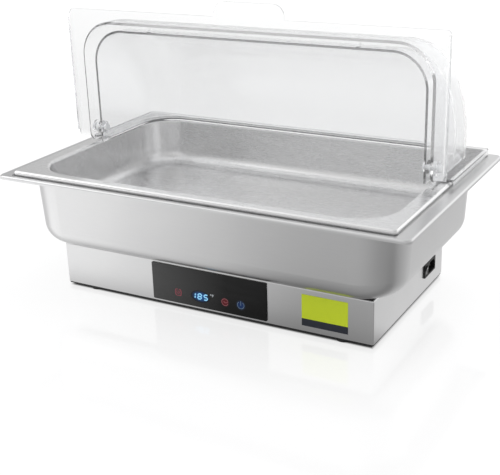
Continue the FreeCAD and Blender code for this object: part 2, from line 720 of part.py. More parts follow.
# Heater: cast plate in the top, tubular element clamped under it, insulation and a pressed tray
def make_heater_plate():
    slab = plate(slab_x, slab_y, HEATER_CORNER, slab_z, roof_z)
    island = plate(island_x, island_y, HEATER_CORNER, roof_z, tub_z)
    studs = [rod(STUD_RADIUS, V(x, y, slab_z), V(x, y, clamp_z - HEATER_STUD)) for x, y in heater_studs]
    return fuse([slab, island] + studs)


heater_studs = [(x * STUD_X, y * ELEMENT_PITCH) for x in (-1, 1) for y in (-1, 1)]


def make_heating_element():
    """Tube in four runs: in from the right, through three half-turn bends, out to the right."""
    turn = ELEMENT_PITCH / 2
    left = -ELEMENT_RUN / 2
    right = ELEMENT_RUN / 2
    tail_x = tray_x + ELEMENT_TAIL
    ys = [ELEMENT_PITCH * (k - 1.5) for k in range(4)]

    def at(x, y):
        return V(x, y, element_z)

    edges = [
        Part.makeLine(at(tail_x, ys[0]), at(left, ys[0])),
        Part.Arc(at(left, ys[0]), at(left - turn, ys[0] + turn), at(left, ys[1])).toShape(),
        Part.makeLine(at(left, ys[1]), at(right, ys[1])),
        Part.Arc(at(right, ys[1]), at(right + turn, ys[1] + turn), at(right, ys[2])).toShape(),
        Part.makeLine(at(right, ys[2]), at(left, ys[2])),
        Part.Arc(at(left, ys[2]), at(left - turn, ys[2] + turn), at(left, ys[3])).toShape(),
        Part.makeLine(at(left, ys[3]), at(tail_x, ys[3])),
    ]
    section = Part.Wire(Part.makeCircle(ELEMENT_RADIUS, at(tail_x, ys[0]), X_AXIS))
    tube = Part.Wire(edges).makePipeShell([section], True, False)
    pins = [rod(ELEMENT_PIN, at(tail_x, y), at(tail_x + ELEMENT_TAB, y)) for y in (ys[0], ys[3])]
    return fuse([tube] + pins)


def stud_holes(radius, z0, z1):
    holes = [rod(radius, V(x, y, z0), V(x, y, z1)) for x, y in heater_studs]
    holes.append(rod(PROBE_RADIUS + LOOSE, V(0, 0, z0), V(0, 0, z1)))
    return Part.makeCompound(holes)


def make_heater_stack():
    clamp = plate(slab_x - CLAMP_INSET, slab_y - CLAMP_INSET, HEATER_CORNER, clamp_z, clamp_top_z)
    clamp = clamp.cut(stud_holes(STUD_RADIUS + FIT, clamp_z - 1, clamp_top_z + 1))
    pad = plate(slab_x - PAD_INSET, slab_y - PAD_INSET, HEATER_CORNER, tray_top_z, clamp_z)
    pad = pad.cut(stud_holes(PAD_HOLE, tray_top_z - 1, clamp_z + 1))
    return clamp, pad, Part.makeCompound([stud_nut(x, y, clamp_z) for x, y in heater_studs])


def make_heater_tray():
    """Pressed tray: flat floor, upright walls and an outward flange that hangs from the housing's studs."""
    section = sheet_section(
        [(-TRAY_BEND, tray_z, 0), (TRAY_SHEET, tray_z, TRAY_BEND),
         (TRAY_SHEET, roof_z - TRAY_SHEET, TRAY_SHEET), (TRAY_FLANGE, roof_z - TRAY_SHEET, 0)], TRAY_SHEET)
    solids = around(section, tray_x, tray_y, HEATER_CORNER + TRAY_BEND)
    solids.append(plate(tray_x - TRAY_BEND, tray_y - TRAY_BEND, HEATER_CORNER, tray_z, tray_top_z))
    tray = fuse(solids)
    cuts = [rod(STUD_RADIUS + FIT, V(x, y, roof_z - 5), V(x, y, roof_z + 1)) for x, y in tray_studs]
    cuts.append(rod(PROBE_RADIUS + LOOSE, V(0, 0, tray_z - 1), V(0, 0, tray_top_z + 1)))
    for y in (-1.5, 1.5):
        tail = V(tray_x - TRAY_SLACK, y * ELEMENT_PITCH, element_z)
        cuts.append(rod(ELEMENT_RADIUS + LOOSE, tail, tail + V(TAIL_HOLE, 0, 0)))
    return tray.cut(Part.makeCompound(cuts))


def make_tray_nuts():
    return Part.makeCompound([stud_nut(x, y, roof_z - TRAY_SHEET) for x, y in tray_studs])


# Thermal cut-out: snap disc under the tray, held by its flange and two rivets
def make_thermal_cutout():
    centre = V(CUTOUT_X, CUTOUT_Y, tray_z)
    can = rod(CUTOUT_RADIUS, centre, centre - V(0, 0, CUTOUT_HEIGHT))
    ear_x = CUTOUT_EAR_LENGTH / 2
    ear_y = CUTOUT_EAR_WIDTH / 2
    solids = [can, block(CUTOUT_X - ear_x, CUTOUT_X + ear_x, CUTOUT_Y - ear_y, CUTOUT_Y + ear_y,
                         tray_z - CUTOUT_EAR_SHEET, tray_z)]
    tab_z = tray_z - CUTOUT_HEIGHT
    for side in (-1, 1):
        y = CUTOUT_Y + side * TAB_PITCH / 2
        solids.append(block(CUTOUT_X - TAB_WIDTH / 2, CUTOUT_X + TAB_WIDTH / 2,
                            y - TAB_SHEET / 2, y + TAB_SHEET / 2, tab_z - TAB_LENGTH, tab_z))
    return fuse(solids)


# Temperature probe: stainless pocket through the stack up to the heater plate, in a silicone grommet
def make_probe():
    top = V(0, 0, slab_z - LOOSE)
    bottom = V(0, 0, tray_z - PROBE_BELOW)
    probe = rod(PROBE_RADIUS, bottom, top)
    low = V(0, 0, tray_z - GROMMET_HEIGHT)
    high = V(0, 0, tray_z)
    grommet = rod(PROBE_RADIUS + GROMMET_WALL, low, high).cut(rod(PROBE_RADIUS + FIT, low, high))
    return probe, grommet


parts["base_housing"] = make_base_housing()
parts["base_bottom_plate"] = make_bottom_plate()
parts["feet"], parts["foot_screws"], parts["foot_nuts"] = make_feet()
parts["bottom_screws"] = make_bottom_screws()
parts["heater_plate"] = make_heater_plate()
parts["heating_element"] = make_heating_element()
parts["element_clamp"], parts["insulation_pad"], parts["clamp_nuts"] = make_heater_stack()
parts["heater_tray"] = make_heater_tray()
parts["tray_nuts"] = make_tray_nuts()
parts["thermal_cutout"] = make_thermal_cutout()
parts["temperature_probe"], parts["probe_grommet"] = make_probe()


# Control panel: black glass on the front, with its board, display and key springs behind the window
def make_control_glass():
    glass = block(glass_x0, glass_x0 + GLASS_LENGTH, front_y - GLASS_THICKNESS, front_y,
                  glass_z, glass_top_z)
    corners = [e for e in glass.Edges if abs(e.tangentAt(e.FirstParameter).y) > 0.9]
    glass = glass.makeFillet(GLASS_CORNER, corners)
    rim = [e for e in glass.Edges if abs(e.CenterOfMass.y - front_y + GLASS_THICKNESS) < 0.01]
    return glass.makeChamfer(GLASS_BEVEL, rim)


def make_display_board():
    end_x = post_x + POST_RADIUS
    board = block(-end_x, end_x, board_y, board_y + BOARD_SHEET, board_z0, board_z1)
    for x, z in display_posts:
        board = board.cut(rod(SCREW_RADIUS + FIT, V(x, board_y - 1, z), V(x, board_y + BOARD_SHEET + 1, z)))
    return board


def make_display_screws():
    return Part.makeCompound([
        screw(V(x, board_y + BOARD_SHEET, z), Y_AXIS * -1, SCREW_RADIUS - FIT, BOARD_SHEET + SCREW_BITE)
        for x, z in display_posts])


def make_display_module():
    middle_z = glass_z + DISPLAY_RISE
    return block(DISPLAY_X - DISPLAY_LENGTH / 2, DISPLAY_X + DISPLAY_LENGTH / 2, front_y + LOOSE, board_y,
                 middle_z - DISPLAY_HEIGHT / 2, middle_z + DISPLAY_HEIGHT / 2)


def make_key_springs():
    springs = []
    for x in KEY_XS:
        ends = (V(x, front_y + LOOSE, glass_z + KEY_RISE), V(x, board_y, glass_z + KEY_RISE))
        springs.append(rod(KEY_RADIUS, *ends).cut(rod(KEY_RADIUS - KEY_WALL, *ends)))
    return Part.makeCompound(springs)


def make_label():
    return block(LABEL_X, LABEL_X + LABEL_LENGTH, front_y - LABEL_SHEET, front_y,
                 housing_z + LABEL_RISE, top_z - LABEL_TOP)


parts["control_glass"] = make_control_glass()
parts["display_board"] = make_display_board()
parts["display_screws"] = make_display_screws()
parts["display_module"] = make_display_module()
parts["key_springs"] = make_key_springs()
parts["label_plate"] = make_label()


# Mains inlet: moulded three-pin socket with two bevelled corners, pushed into the right side
face_x = side_x + INLET_FLANGE


def flanged_body(y0, length, depth):
    """Moulding with a thin flange outside the wall and a body through the cut-out."""
    flange = block(side_x, face_x, y0, y0 + length, inlet_z, inlet_z + INLET_HEIGHT)
    lip = INLET_LIP + LOOSE
    body = block(face_x - depth, side_x, y0 + lip, y0 + length - lip,
                 inlet_z + lip, inlet_z + INLET_HEIGHT - lip)
    return fuse([flange, body])


def make_inlet():
    body = flanged_body(INLET_Y, INLET_LENGTH, INLET_DEPTH)
    middle_y = INLET_Y + INLET_LENGTH / 2
    middle_z = inlet_z + INLET_HEIGHT / 2
    y0, y1 = middle_y - INLET_CAVITY_LENGTH / 2, middle_y + INLET_CAVITY_LENGTH / 2
    z0, z1 = middle_z - INLET_CAVITY_HEIGHT / 2, middle_z + INLET_CAVITY_HEIGHT / 2
    bevel = INLET_BEVEL
    back_x = face_x - INLET_CAVITY_DEPTH
    ring = [V(back_x, y0, z0), V(back_x, y1, z0), V(back_x, y1, z1 - bevel), V(back_x, y1 - bevel, z1),
            V(back_x, y0 + bevel, z1), V(back_x, y0, z1 - bevel), V(back_x, y0, z0)]
    cavity = Part.Face(Part.makePolygon(ring)).extrude(V(INLET_CAVITY_DEPTH + 1, 0, 0))
    body = body.cut(cavity)
    pins = []
    for dy, dz in ((-BLADE_PITCH / 2, -BLADE_DROP), (0, BLADE_DROP), (BLADE_PITCH / 2, -BLADE_DROP)):
        y_ends = (middle_y + dy - BLADE_THICKNESS / 2, middle_y + dy + BLADE_THICKNESS / 2)
        z_ends = (middle_z + dz - BLADE_HEIGHT / 2, middle_z + dz + BLADE_HEIGHT / 2)
        inside = block(back_x, back_x + BLADE_REACH, *y_ends, *z_ends)
        tab = block(face_x - INLET_DEPTH - TAB_LENGTH, back_x, *y_ends, *z_ends)
        pins.append(fuse([inside, tab]))
        body = body.cut(tab)
    return body, Part.makeCompound(pins)


# Rocker switch: its rocker turns on two stubs in the frame, and stands with its lower end pressed in
rocker_pivot = V(face_x - ROCKER_SINK_DEPTH, SWITCH_Y + SWITCH_LENGTH / 2, inlet_z + INLET_HEIGHT / 2)


def make_switch():
    frame = flanged_body(SWITCH_Y, SWITCH_LENGTH, SWITCH_DEPTH)
    p = rocker_pivot
    half_y = ROCKER_LENGTH / 2 + LOOSE
    half_z = ROCKER_HALF_HEIGHT + ROCKER_SWING
    pocket = block(face_x - ROCKER_POCKET, face_x + 1, p.y - half_y, p.y + half_y, p.z - half_z, p.z + half_z)
    stub = V(0, half_y + STUB_LENGTH, 0)
    frame = frame.cut(pocket).cut(rod(STUB_RADIUS + FIT, p - stub, p + stub))
    nose = face_x + ROCKER_PROUD - p.x
    outline = [(nose, -ROCKER_HALF_HEIGHT), (nose - ROCKER_VALLEY, 0), (nose, ROCKER_HALF_HEIGHT),
               (-ROCKER_SHOULDER, ROCKER_HALF_HEIGHT), (-ROCKER_BACK, ROCKER_FOOT),
               (-ROCKER_BACK, -ROCKER_FOOT), (-ROCKER_SHOULDER, -ROCKER_HALF_HEIGHT)]
    ring = [V(a, -ROCKER_LENGTH / 2, b) for a, b in outline + outline[:1]]
    rocker = Part.Face(Part.makePolygon(ring)).extrude(V(0, ROCKER_LENGTH, 0))
    ridges = [e for e in rocker.Edges if e.CenterOfMass.x > nose - 0.01 and abs(e.tangentAt(0).y) > 0.9]
    rocker = rocker.makeFillet(ROCKER_EDGE, ridges)
    shaft = V(0, half_y + STUB_LENGTH - LOOSE, 0)
    rocker = fuse([rocker, rod(STUB_RADIUS, shaft * -1, shaft)])
    rocker.rotate(V(0, 0, 0), Y_AXIS, ROCKER_TILT)
    rocker.translate(p)
    tabs = []
    tab_x = face_x - SWITCH_DEPTH
    for side in (-1, 1):
        z = p.z + side * TAB_PITCH / 2
        tabs.append(block(tab_x - TAB_LENGTH, tab_x, p.y - TAB_WIDTH / 2, p.y + TAB_WIDTH / 2,
                          z - TAB_SHEET / 2, z + TAB_SHEET / 2))
    return frame, rocker, Part.makeCompound(tabs)


parts["inlet_socket"], parts["inlet_pins"] = make_inlet()
parts["switch_frame"], parts["switch_rocker"], parts["switch_tabs"] = make_switch()


# Power board at the left end, on posts, with its transformer, relay, capacitors and terminal block
power_x = -(side_x - BASE_HEM - POWER_GAP - POWER_WIDTH / 2)
power_z = housing_z + POST_HEIGHT
power_top_z = power_z + BOARD_SHEET
terminal_y = TERMINAL_FROM_EDGE - POWER_LENGTH / 2
terminal_z = power_top_z + TERMINAL_HEIGHT / 2
terminal_xs = [power_x + (k - 1.5) * TERMINAL_PITCH for k in range(4)]


def on_board(width, length, height, y, rise=0.0):
    """Block centred across the power board, at y along it."""
    return block(power_x - width / 2, power_x + width / 2, y - length / 2, y + length / 2,
                 power_top_z + rise, power_top_z + rise + height)


def make_power_board():
    half_x = POWER_WIDTH / 2
    half_y = POWER_LENGTH / 2
    board = block(power_x - half_x, power_x + half_x, -half_y, half_y, power_z, power_top_z)
    posts, screws = [], []
    for end_x in (-1, 1):
        for end_y in (-1, 1):
            x = power_x + end_x * (half_x - POST_FROM_EDGE)
            y = end_y * (half_y - POST_FROM_EDGE)
            foot, seat, top = V(x, y, housing_z), V(x, y, power_z), V(x, y, power_top_z)
            board = board.cut(rod(SCREW_RADIUS + FIT, seat, top))
            posts.append(rod(POST_RADIUS, foot, seat).cut(rod(SCREW_RADIUS, foot, seat)))
            screws.append(screw(top, Z_AXIS * -1, SCREW_RADIUS - FIT, BOARD_SHEET + SCREW_BITE))
    cans = []
    for side in (-1, 1):
        foot = V(power_x + side * CAPACITOR_PITCH / 2, CAPACITOR_Y, power_top_z)
        cans.append(rod(CAPACITOR_RADIUS, foot, foot + Z_AXIS * CAPACITOR_HEIGHT))
    terminals = on_board(TERMINAL_LENGTH, TERMINAL_WIDTH, TERMINAL_HEIGHT, terminal_y + TERMINAL_WIDTH / 2)
    holes = []
    for x in terminal_xs:
        mouth = V(x, terminal_y - 1, terminal_z)
        holes.append(rod(LEAD_RADIUS + LOOSE, mouth, V(x, terminal_y + TERMINAL_DEPTH, terminal_z)))
    coil = on_board(COIL_WIDTH, CORE_LENGTH + 2 * COIL_OUT, COIL_HEIGHT, CORE_Y)
    return {
        "power_board": board,
        "power_board_posts": Part.makeCompound(posts),
        "power_board_screws": Part.makeCompound(screws),
        "transformer": fuse([on_board(CORE_WIDTH, CORE_LENGTH, CORE_HEIGHT, CORE_Y, CORE_RISE), coil]),
        "relay": on_board(RELAY_WIDTH, RELAY_LENGTH, RELAY_HEIGHT, RELAY_Y),
        "capacitors": Part.makeCompound(cans),
        "terminal_block": terminals.cut(Part.makeCompound(holes)),
    }


# Leads: round insulated wires, routed under the heater tray
def lead(points, bend=LEAD_BEND):
    path = Part.Wire(fillet_path([(p, bend) for p in points]))
    start = V(*points[0])
    towards = (V(*points[1]) - start).normalize()
    return path.makePipeShell([Part.Wire(Part.makeCircle(LEAD_RADIUS, start, towards))], True, False)


def make_leads():
    tab_x = face_x - INLET_DEPTH - TAB_LENGTH
    middle_y = INLET_Y + INLET_LENGTH / 2
    middle_z = inlet_z + INLET_HEIGHT / 2
    blade_z = middle_z - BLADE_DROP
    pin_x = tray_x + ELEMENT_TAIL + ELEMENT_TAB
    pin_y = 1.5 * ELEMENT_PITCH
    away_x = pin_x + LEAD_BEND + 2 * LEAD_PITCH / 3
    runs = [terminal_y - LEAD_OUT - k * LEAD_PITCH for k in (3, 2, 1, 0)]

    def out_of_terminal(k, turn_x):
        x = terminal_xs[k]
        start = (x, terminal_y + TERMINAL_DEPTH / 2, terminal_z)
        return [start, (x, runs[k], terminal_z), (turn_x, runs[k], terminal_z)]

    near = [(away_x, -pin_y, element_z), (pin_x, -pin_y, element_z)]
    far = [(pin_x + LEAD_PITCH, 0, terminal_z), (away_x, pin_y, element_z), (pin_x, pin_y, element_z)]
    mains = []
    for k, side in ((2, -1), (3, 1)):
        turn_x = LEAD_TURN_X - side * LEAD_PITCH
        y = middle_y + side * BLADE_PITCH / 2
        mains.append(lead(out_of_terminal(k, turn_x) + [(turn_x, y, blade_z), (tab_x, y, blade_z)]))
    earth_z = middle_z + BLADE_DROP
    earth = [(tab_x, middle_y, earth_z), (EARTH_X, middle_y, earth_z), (EARTH_X, EARTH_Y, middle_z),
             (EARTH_X, EARTH_Y, bottom_z + earth_bolt)]
    probe_x = power_x + POWER_WIDTH / 2 - LEAD_BEND / 2
    probe_end_z = tray_z - PROBE_BELOW
    probe_z = probe_end_z - PROBE_LEAD_DROP
    probe = [(0, 0, probe_end_z), (0, 0, probe_z), (probe_x, -CAPACITOR_Y, probe_z),
             (probe_x, -CAPACITOR_Y, power_top_z)]
    return {
        "mains_leads": Part.makeCompound(mains),
        "heater_leads": Part.makeCompound([lead(out_of_terminal(0, away_x) + near),
                                           lead(out_of_terminal(1, pin_x + LEAD_PITCH) + far)]),
        "earth_lead": lead(earth),
        "probe_lead": lead(probe, PROBE_LEAD_BEND),
    }


# Display cable: flat cable on edge between two pin headers, one on each board
def make_display_cable():
    back_y = board_y + BOARD_SHEET
    board_x = power_x + POWER_WIDTH / 2
    end_x = board_x + HEADER_DEPTH
    start_y = back_y + HEADER_DEPTH
    turn_y = start_y + RIBBON_OUT
    turn_x = end_x + RIBBON_OUT
    end_y = RELAY_Y - RELAY_LENGTH / 2 - HEADER_LENGTH / 2
    route = [(RIBBON_X, start_y), (RIBBON_X, turn_y), (turn_x, turn_y), (turn_x, end_y), (end_x, end_y)]
    section = sheet_section([(x, y, RIBBON_BEND) for x, y in route], RIBBON_SHEET)
    section.rotate(V(0, 0, 0), X_AXIS, -90)
    cable = section.extrude(V(0, 0, RIBBON_WIDTH))
    low_z = housing_z + RIBBON_RISE
    cable.translate(V(0, 0, low_z))
    half = HEADER_LENGTH / 2
    headers = [
        block(RIBBON_X - half, RIBBON_X + half, back_y, start_y, low_z, low_z + RIBBON_WIDTH),
        block(board_x, end_x, end_y - half, end_y + half, low_z, low_z + RIBBON_WIDTH),
    ]
    return cable, Part.makeCompound(headers)


# Earth point: bolt up through the bottom plate, with a nut; the earth lead's end sits on the bolt
earth_bolt = BOTTOM_SHEET + SCREW_NUT + SCREW_RADIUS


def make_earth_point():
    seat = V(EARTH_X, EARTH_Y, bottom_z)
    bolt = screw(seat, Z_AXIS, SCREW_RADIUS, earth_bolt)
    return Part.makeCompound([bolt, small_nut(EARTH_X, EARTH_Y, housing_z)])


parts.update(make_power_board())
parts.update(make_leads())
parts["display_cable"], parts["cable_headers"] = make_display_cable()
parts["earth_screw"] = make_earth_point()

os.makedirs("parts", exist_ok=True)
for name, shape in parts.items():
    shape.exportStep("parts/" + name + ".step")
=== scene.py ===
# Electric chafing dish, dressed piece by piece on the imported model.
# Metres. X runs along the long side, the front faces -Y, Z is up, and the floor is at Z 0.
import math

import bmesh
import bpy
from mathutils import Matrix, Vector
from mathutils.bvhtree import BVHTree


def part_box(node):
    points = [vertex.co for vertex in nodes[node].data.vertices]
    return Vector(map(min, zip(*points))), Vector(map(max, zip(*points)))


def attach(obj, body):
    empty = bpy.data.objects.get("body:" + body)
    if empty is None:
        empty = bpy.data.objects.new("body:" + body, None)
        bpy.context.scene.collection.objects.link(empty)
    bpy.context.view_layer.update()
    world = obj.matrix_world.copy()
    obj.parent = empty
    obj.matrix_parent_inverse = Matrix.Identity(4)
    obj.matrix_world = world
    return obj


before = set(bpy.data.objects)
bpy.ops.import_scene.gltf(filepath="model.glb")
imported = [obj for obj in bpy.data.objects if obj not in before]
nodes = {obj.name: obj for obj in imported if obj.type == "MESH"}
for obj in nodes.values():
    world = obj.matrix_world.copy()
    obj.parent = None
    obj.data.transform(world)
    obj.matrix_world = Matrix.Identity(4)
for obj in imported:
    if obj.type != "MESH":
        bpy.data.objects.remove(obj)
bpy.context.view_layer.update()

scene = bpy.context.scene
scene.view_settings.view_transform = "Standard"


# Camera: it stands at the front right, above the rim, and looks down on the dish.
# Its place and turn put the corners of the pans and the base where the photograph has them.
camera_turn = math.radians(29.52)
camera_fall = math.radians(21.13)
camera_roll = math.radians(-1.82)
camera_place = Vector((0.62559, -1.11594, 0.55811))

camera = bpy.data.objects.new("camera", bpy.data.cameras.new("camera"))
scene.collection.objects.link(camera)
camera.data.sensor_width = 36.0
camera.data.lens = 73.35
camera.data.shift_x = 0.0009
camera.data.shift_y = -0.0019
camera.data.clip_end = 50.0
camera.matrix_world = (Matrix.Translation(camera_place) @ Matrix.Rotation(camera_turn, 4, "Z")
                       @ Matrix.Rotation(math.pi / 2 - camera_fall, 4, "X")
                       @ Matrix.Rotation(camera_roll, 4, "Z"))
scene.camera = camera


# Studio room: white walls all round, as the camera and the clear cover see them.
# The steel mirrors the same room as darker towards the front right, with a ceiling that is
# brightest on the left and a back wall that is brightest on the right.
room_white = (1.0, 1.0, 1.0, 1.0)
room_light = 0.86
dark_side = (0.80, -0.60, 0.0)
dark_side_light = 0.52
ceiling_left, ceiling_right = 1.5, 0.85
back_wall_left, back_wall_right = 0.52, 1.3


def out(node, name=None):
    """The output that the node uses, the first one or the one of that name."""
    return next(s for s in node.outputs if s.enabled and name in (None, s.name))


def add_node(tree, kind, inputs=None, **settings):
    """A node in the tree; each input takes a plain value, a node, or one output of a node."""
    made = tree.nodes.new(kind)
    for name, value in settings.items():
        setattr(made, name, value)
    for name, value in (inputs or {}).items():
        socket = made.inputs[name] if isinstance(name, int) else next(
            s for s in made.inputs if s.enabled and s.name == name)
        if isinstance(value, bpy.types.Node):
            tree.links.new(out(value), socket)
        elif isinstance(value, bpy.types.NodeSocket):
            tree.links.new(value, socket)
        else:
            socket.default_value = value
    return made


def spread(tree, value, low, high, to_low=0.0, to_high=1.0, smooth=False):
    """The value's range from low to high, carried to another range."""
    return add_node(tree, "ShaderNodeMapRange", {"Value": value, "From Min": low, "From Max": high,
                    "To Min": to_low, "To Max": to_high},
                    interpolation_type="SMOOTHSTEP" if smooth else "LINEAR")


def either(tree, a, b):
    """The larger of two values, which joins two masks."""
    return add_node(tree, "ShaderNodeMath", {0: a, 1: b}, operation="MAXIMUM")


def times(tree, a, b):
    """The product of two values."""
    return add_node(tree, "ShaderNodeMath", {0: a, 1: b}, operation="MULTIPLY")


def towards(tree, direction, axis):
    """How far a place or direction reaches along that axis."""
    return out(add_node(tree, "ShaderNodeVectorMath", {0: direction, 1: axis}, operation="DOT_PRODUCT"))


def mixed(tree, share, a, b, kind="FLOAT"):
    """From a to b by that share, for values or for colours."""
    return add_node(tree, "ShaderNodeMix", {"Factor": share, "A": a, "B": b}, data_type=kind)


world = bpy.data.worlds.new("studio_room")
scene.world = world
world.use_nodes = True
room = world.node_tree
room.nodes.clear()
rays = add_node(room, "ShaderNodeLightPath")
direction = out(add_node(room, "ShaderNodeTexCoord"), "Generated")
parts = add_node(room, "ShaderNodeSeparateXYZ", {0: direction})
ceiling = spread(room, out(parts, "X"), -0.65, -0.30, ceiling_left, ceiling_right)
back_wall = spread(room, out(parts, "X"), -0.70, 0.1, back_wall_left, back_wall_right)
height = spread(room, out(parts, "Z"), 0.45, 0.70, smooth=True)
unlit = spread(room, towards(room, direction, dark_side), -0.05, 0.95, 1.0, dark_side_light, smooth=True)
mirrored = times(room, mixed(room, height, back_wall, ceiling), unlit)
seen = either(room, out(rays, "Is Camera Ray"), out(rays, "Is Transmission Ray"))
level = mixed(room, out(rays, "Is Glossy Ray"), room_light, mirrored)
walls = add_node(room, "ShaderNodeBackground", {"Color": room_white,
                 "Strength": mixed(room, seen, level, 1.0)})
add_node(room, "ShaderNodeOutputWorld", {"Surface": walls})


# Lamps: soft boxes overhead, low at the left, in front and behind at the right.
# They light the dish at a plain level, and only the left one draws a soft line on the steel.
def soft_box(name, place, aim, width, height, radiance, mirrored):
    """Rectangular lamp whose face has that radiance; the steel mirrors it or not."""
    lamp = bpy.data.lights.new(name, "AREA")
    lamp.shape = "RECTANGLE"
    lamp.size = width
    lamp.size_y = height
    lamp.energy = radiance * math.pi * width * height
    made = bpy.data.objects.new(name, lamp)
    scene.collection.objects.link(made)
    made.location = place
    made.rotation_euler = (Vector(aim) - Vector(place)).to_track_quat("-Z", "Y").to_euler()
    made.visible_camera = False
    made.visible_transmission = False
    made.visible_glossy = mirrored


soft_box("lamp_overhead", (-0.1, 0.1, 1.7), (0.0, 0.0, 0.1), 1.6, 1.2, 0.9, False)
soft_box("lamp_left", (-1.5, -0.7, 0.9), (0.0, 0.0, 0.12), 1.0, 0.9, 1.6, True)
soft_box("lamp_front", (0.4, -2.2, 1.1), (0.0, 0.0, 0.1), 1.6, 1.2, 1.2, False)
soft_box("lamp_back_right", (1.4, 1.1, 0.9), (0.1, 0.0, 0.1), 1.0, 0.9, 1.3, False)


# Floor: a white polished table top, wide enough to pass behind the view.
# It mirrors the base softly and keeps the dish's shadow, and under the base it has no glow.
# In the steel it shows a painted glow: darker at its front right like that side of the room, with painted
# shade in soft patches and a painted shadow under the tub's overhang.
floor_radius = 9.0
floor_white = (0.86, 0.86, 0.865, 1.0)
floor_glow = 0.72
floor_front_slant = (1.0, -0.47, 0.0)
front_lit, front_unlit = 1.12, 0.47
side_lit, side_unlit = 0.70, 0.45
corner_place, corner_reach, corner_light = (0.48, -0.20, 0.0), 0.33, 0.55
foot_place, foot_reach, foot_light = (0.14, -0.15, 0.0), 0.22, 0.62
overhang_light = 0.6
under_x, under_y, under_edge = 0.2215, 0.1185, 0.002

floor_mesh = bpy.data.meshes.new("floor")
shape = bmesh.new()
bmesh.ops.create_circle(shape, cap_ends=True, segments=96, radius=floor_radius)
shape.to_mesh(floor_mesh)
shape.free()
floor = bpy.data.objects.new("floor", floor_mesh)
scene.collection.objects.link(floor)


def grey(level):
    """A neutral colour of that level."""
    return (level, level, level, 1.0)


def object_place(tree):
    """Where a point stands, in metres from the frame's origin."""
    return out(add_node(tree, "ShaderNodeTexCoord"), "Object")


def new_material(name):
    """An empty node material, and its tree."""
    made = bpy.data.materials.new(name)
    made.use_nodes = True
    made.node_tree.nodes.clear()
    return made, made.node_tree


floor_material, tree = new_material("polished_table_top")
floor_mesh.materials.append(floor_material)
rays = add_node(tree, "ShaderNodeLightPath")
place = object_place(tree)
clouds = add_node(tree, "ShaderNodeTexNoise", {"Vector": place, "Scale": 9.0, "Detail": 3.0})
parts = add_node(tree, "ShaderNodeSeparateXYZ", {0: place})


def from_middle(axis):
    """How far a place on the floor is from the dish's middle along X or Y."""
    return add_node(tree, "ShaderNodeMath", {0: out(parts, axis)}, operation="ABSOLUTE")


def painted_shade_patch(middle, reach, least):
    """A soft patch of painted shade in the floor's glow round that middle."""
    away = add_node(tree, "ShaderNodeVectorMath", {0: place, 1: middle}, operation="DISTANCE")
    return spread(tree, out(away), 0.0, reach, least, 1.0, smooth=True)


# Painted shade in the glow that the steel mirrors: a slant across the front, dark patches, and a painted
# shadow under the tub's overhang.
before_dish = times(tree, spread(tree, towards(tree, place, floor_front_slant), -0.19, 0.19,
                                 front_lit, front_unlit), painted_shade_patch(foot_place, foot_reach, foot_light))
beside_dish = spread(tree, out(parts, "X"), 0.24, 0.45, side_lit, side_unlit)
sideways = spread(tree, out(parts, "Y"), -0.13, -0.05, smooth=True)
painted_overhang_shadow = spread(tree, from_middle("Y"), 0.12, 0.18, overhang_light, 1.0)
painted_corner_shade = painted_shade_patch(corner_place, corner_reach, corner_light)
mirrored = times(tree, times(tree, mixed(tree, sideways, before_dish, beside_dish), painted_corner_shade),
                 mixed(tree, sideways, painted_overhang_shadow, 1.0))
outside = either(tree, *[spread(tree, from_middle(axis), edge - under_edge, edge + under_edge)
                         for axis, edge in (("X", under_x), ("Y", under_y))])
seen = either(tree, out(rays, "Is Camera Ray"), out(rays, "Is Transmission Ray"))
glossy = out(rays, "Is Glossy Ray")
glow = times(tree, outside, mixed(tree, seen, times(tree, glossy, mirrored), floor_glow))
lit = mixed(tree, either(tree, times(tree, seen, floor_glow), glossy), floor_white, grey(0.0), "RGBA")
table = add_node(tree, "ShaderNodeBsdfPrincipled", {"Base Color": lit, "Emission Color": room_white,
                 "Emission Strength": glow, "Roughness": spread(tree, clouds, 0.3, 0.7, 0.07, 0.11)})
add_node(tree, "ShaderNodeOutputMaterial", {"Surface": table})


# Base bottom plate: black-painted sheet steel with two rows of punched vent slots.
# It closes the housing from below and is screwed to the housing's hem.
COLOUR, VALUE, VECTOR = "NodeSocketColor", "NodeSocketFloat", "NodeSocketVector"
SURFACE = [("Color", COLOUR), ("Roughness", VALUE), ("Height", VALUE)]
bump_depth = 0.0002


def new_group(name, takes, gives):
    """A node group with inputs (name, kind, value) and outputs (name, kind)."""
    group = bpy.data.node_groups.new(name, "ShaderNodeTree")
    for socket, kind, value in takes:
        group.interface.new_socket(socket, in_out="INPUT", socket_type=kind).default_value = value
    for socket, kind in gives:
        group.interface.new_socket(socket, in_out="OUTPUT", socket_type=kind)
    return group, group.nodes.new("NodeGroupInput").outputs, group.nodes.new("NodeGroupOutput").inputs


def varied_roughness(group, tone, low, high, take, half=0.5):
    """Base Roughness, with half its Spread taken off at the low tone and added at the high one."""
    return add_node(group, "ShaderNodeMath", {0: spread(group, tone, low, high, -half, half),
                    1: take["Roughness Spread"], 2: take["Base Roughness"]}, operation="MULTIPLY_ADD")


def surface(name, group, values, bump, **plain):
    """A material with a surface group's colour, roughness and bump, and the shader's own plain values."""
    made, tree = new_material(name)
    skin = add_node(tree, "ShaderNodeGroup", node_tree=group)
    for socket, value in values.items():
        skin.inputs[socket].default_value = value
    relief = add_node(tree, "ShaderNodeBump", {"Strength": bump, "Distance": bump_depth,
                      "Height": out(skin, "Height")})
    shader = add_node(tree, "ShaderNodeBsdfPrincipled", {"Base Color": out(skin, "Color"),
                      "Roughness": out(skin, "Roughness"), "Normal": relief})
    for socket, value in plain.items():
        shader.inputs[socket.replace("_", " ")].default_value = value
    add_node(tree, "ShaderNodeOutputMaterial", {"Surface": shader})
    return made


def dress(material, *names):
    """Gives CAD nodes their finish."""
    for name in names:
        nodes[name].material_slots[0].material = material


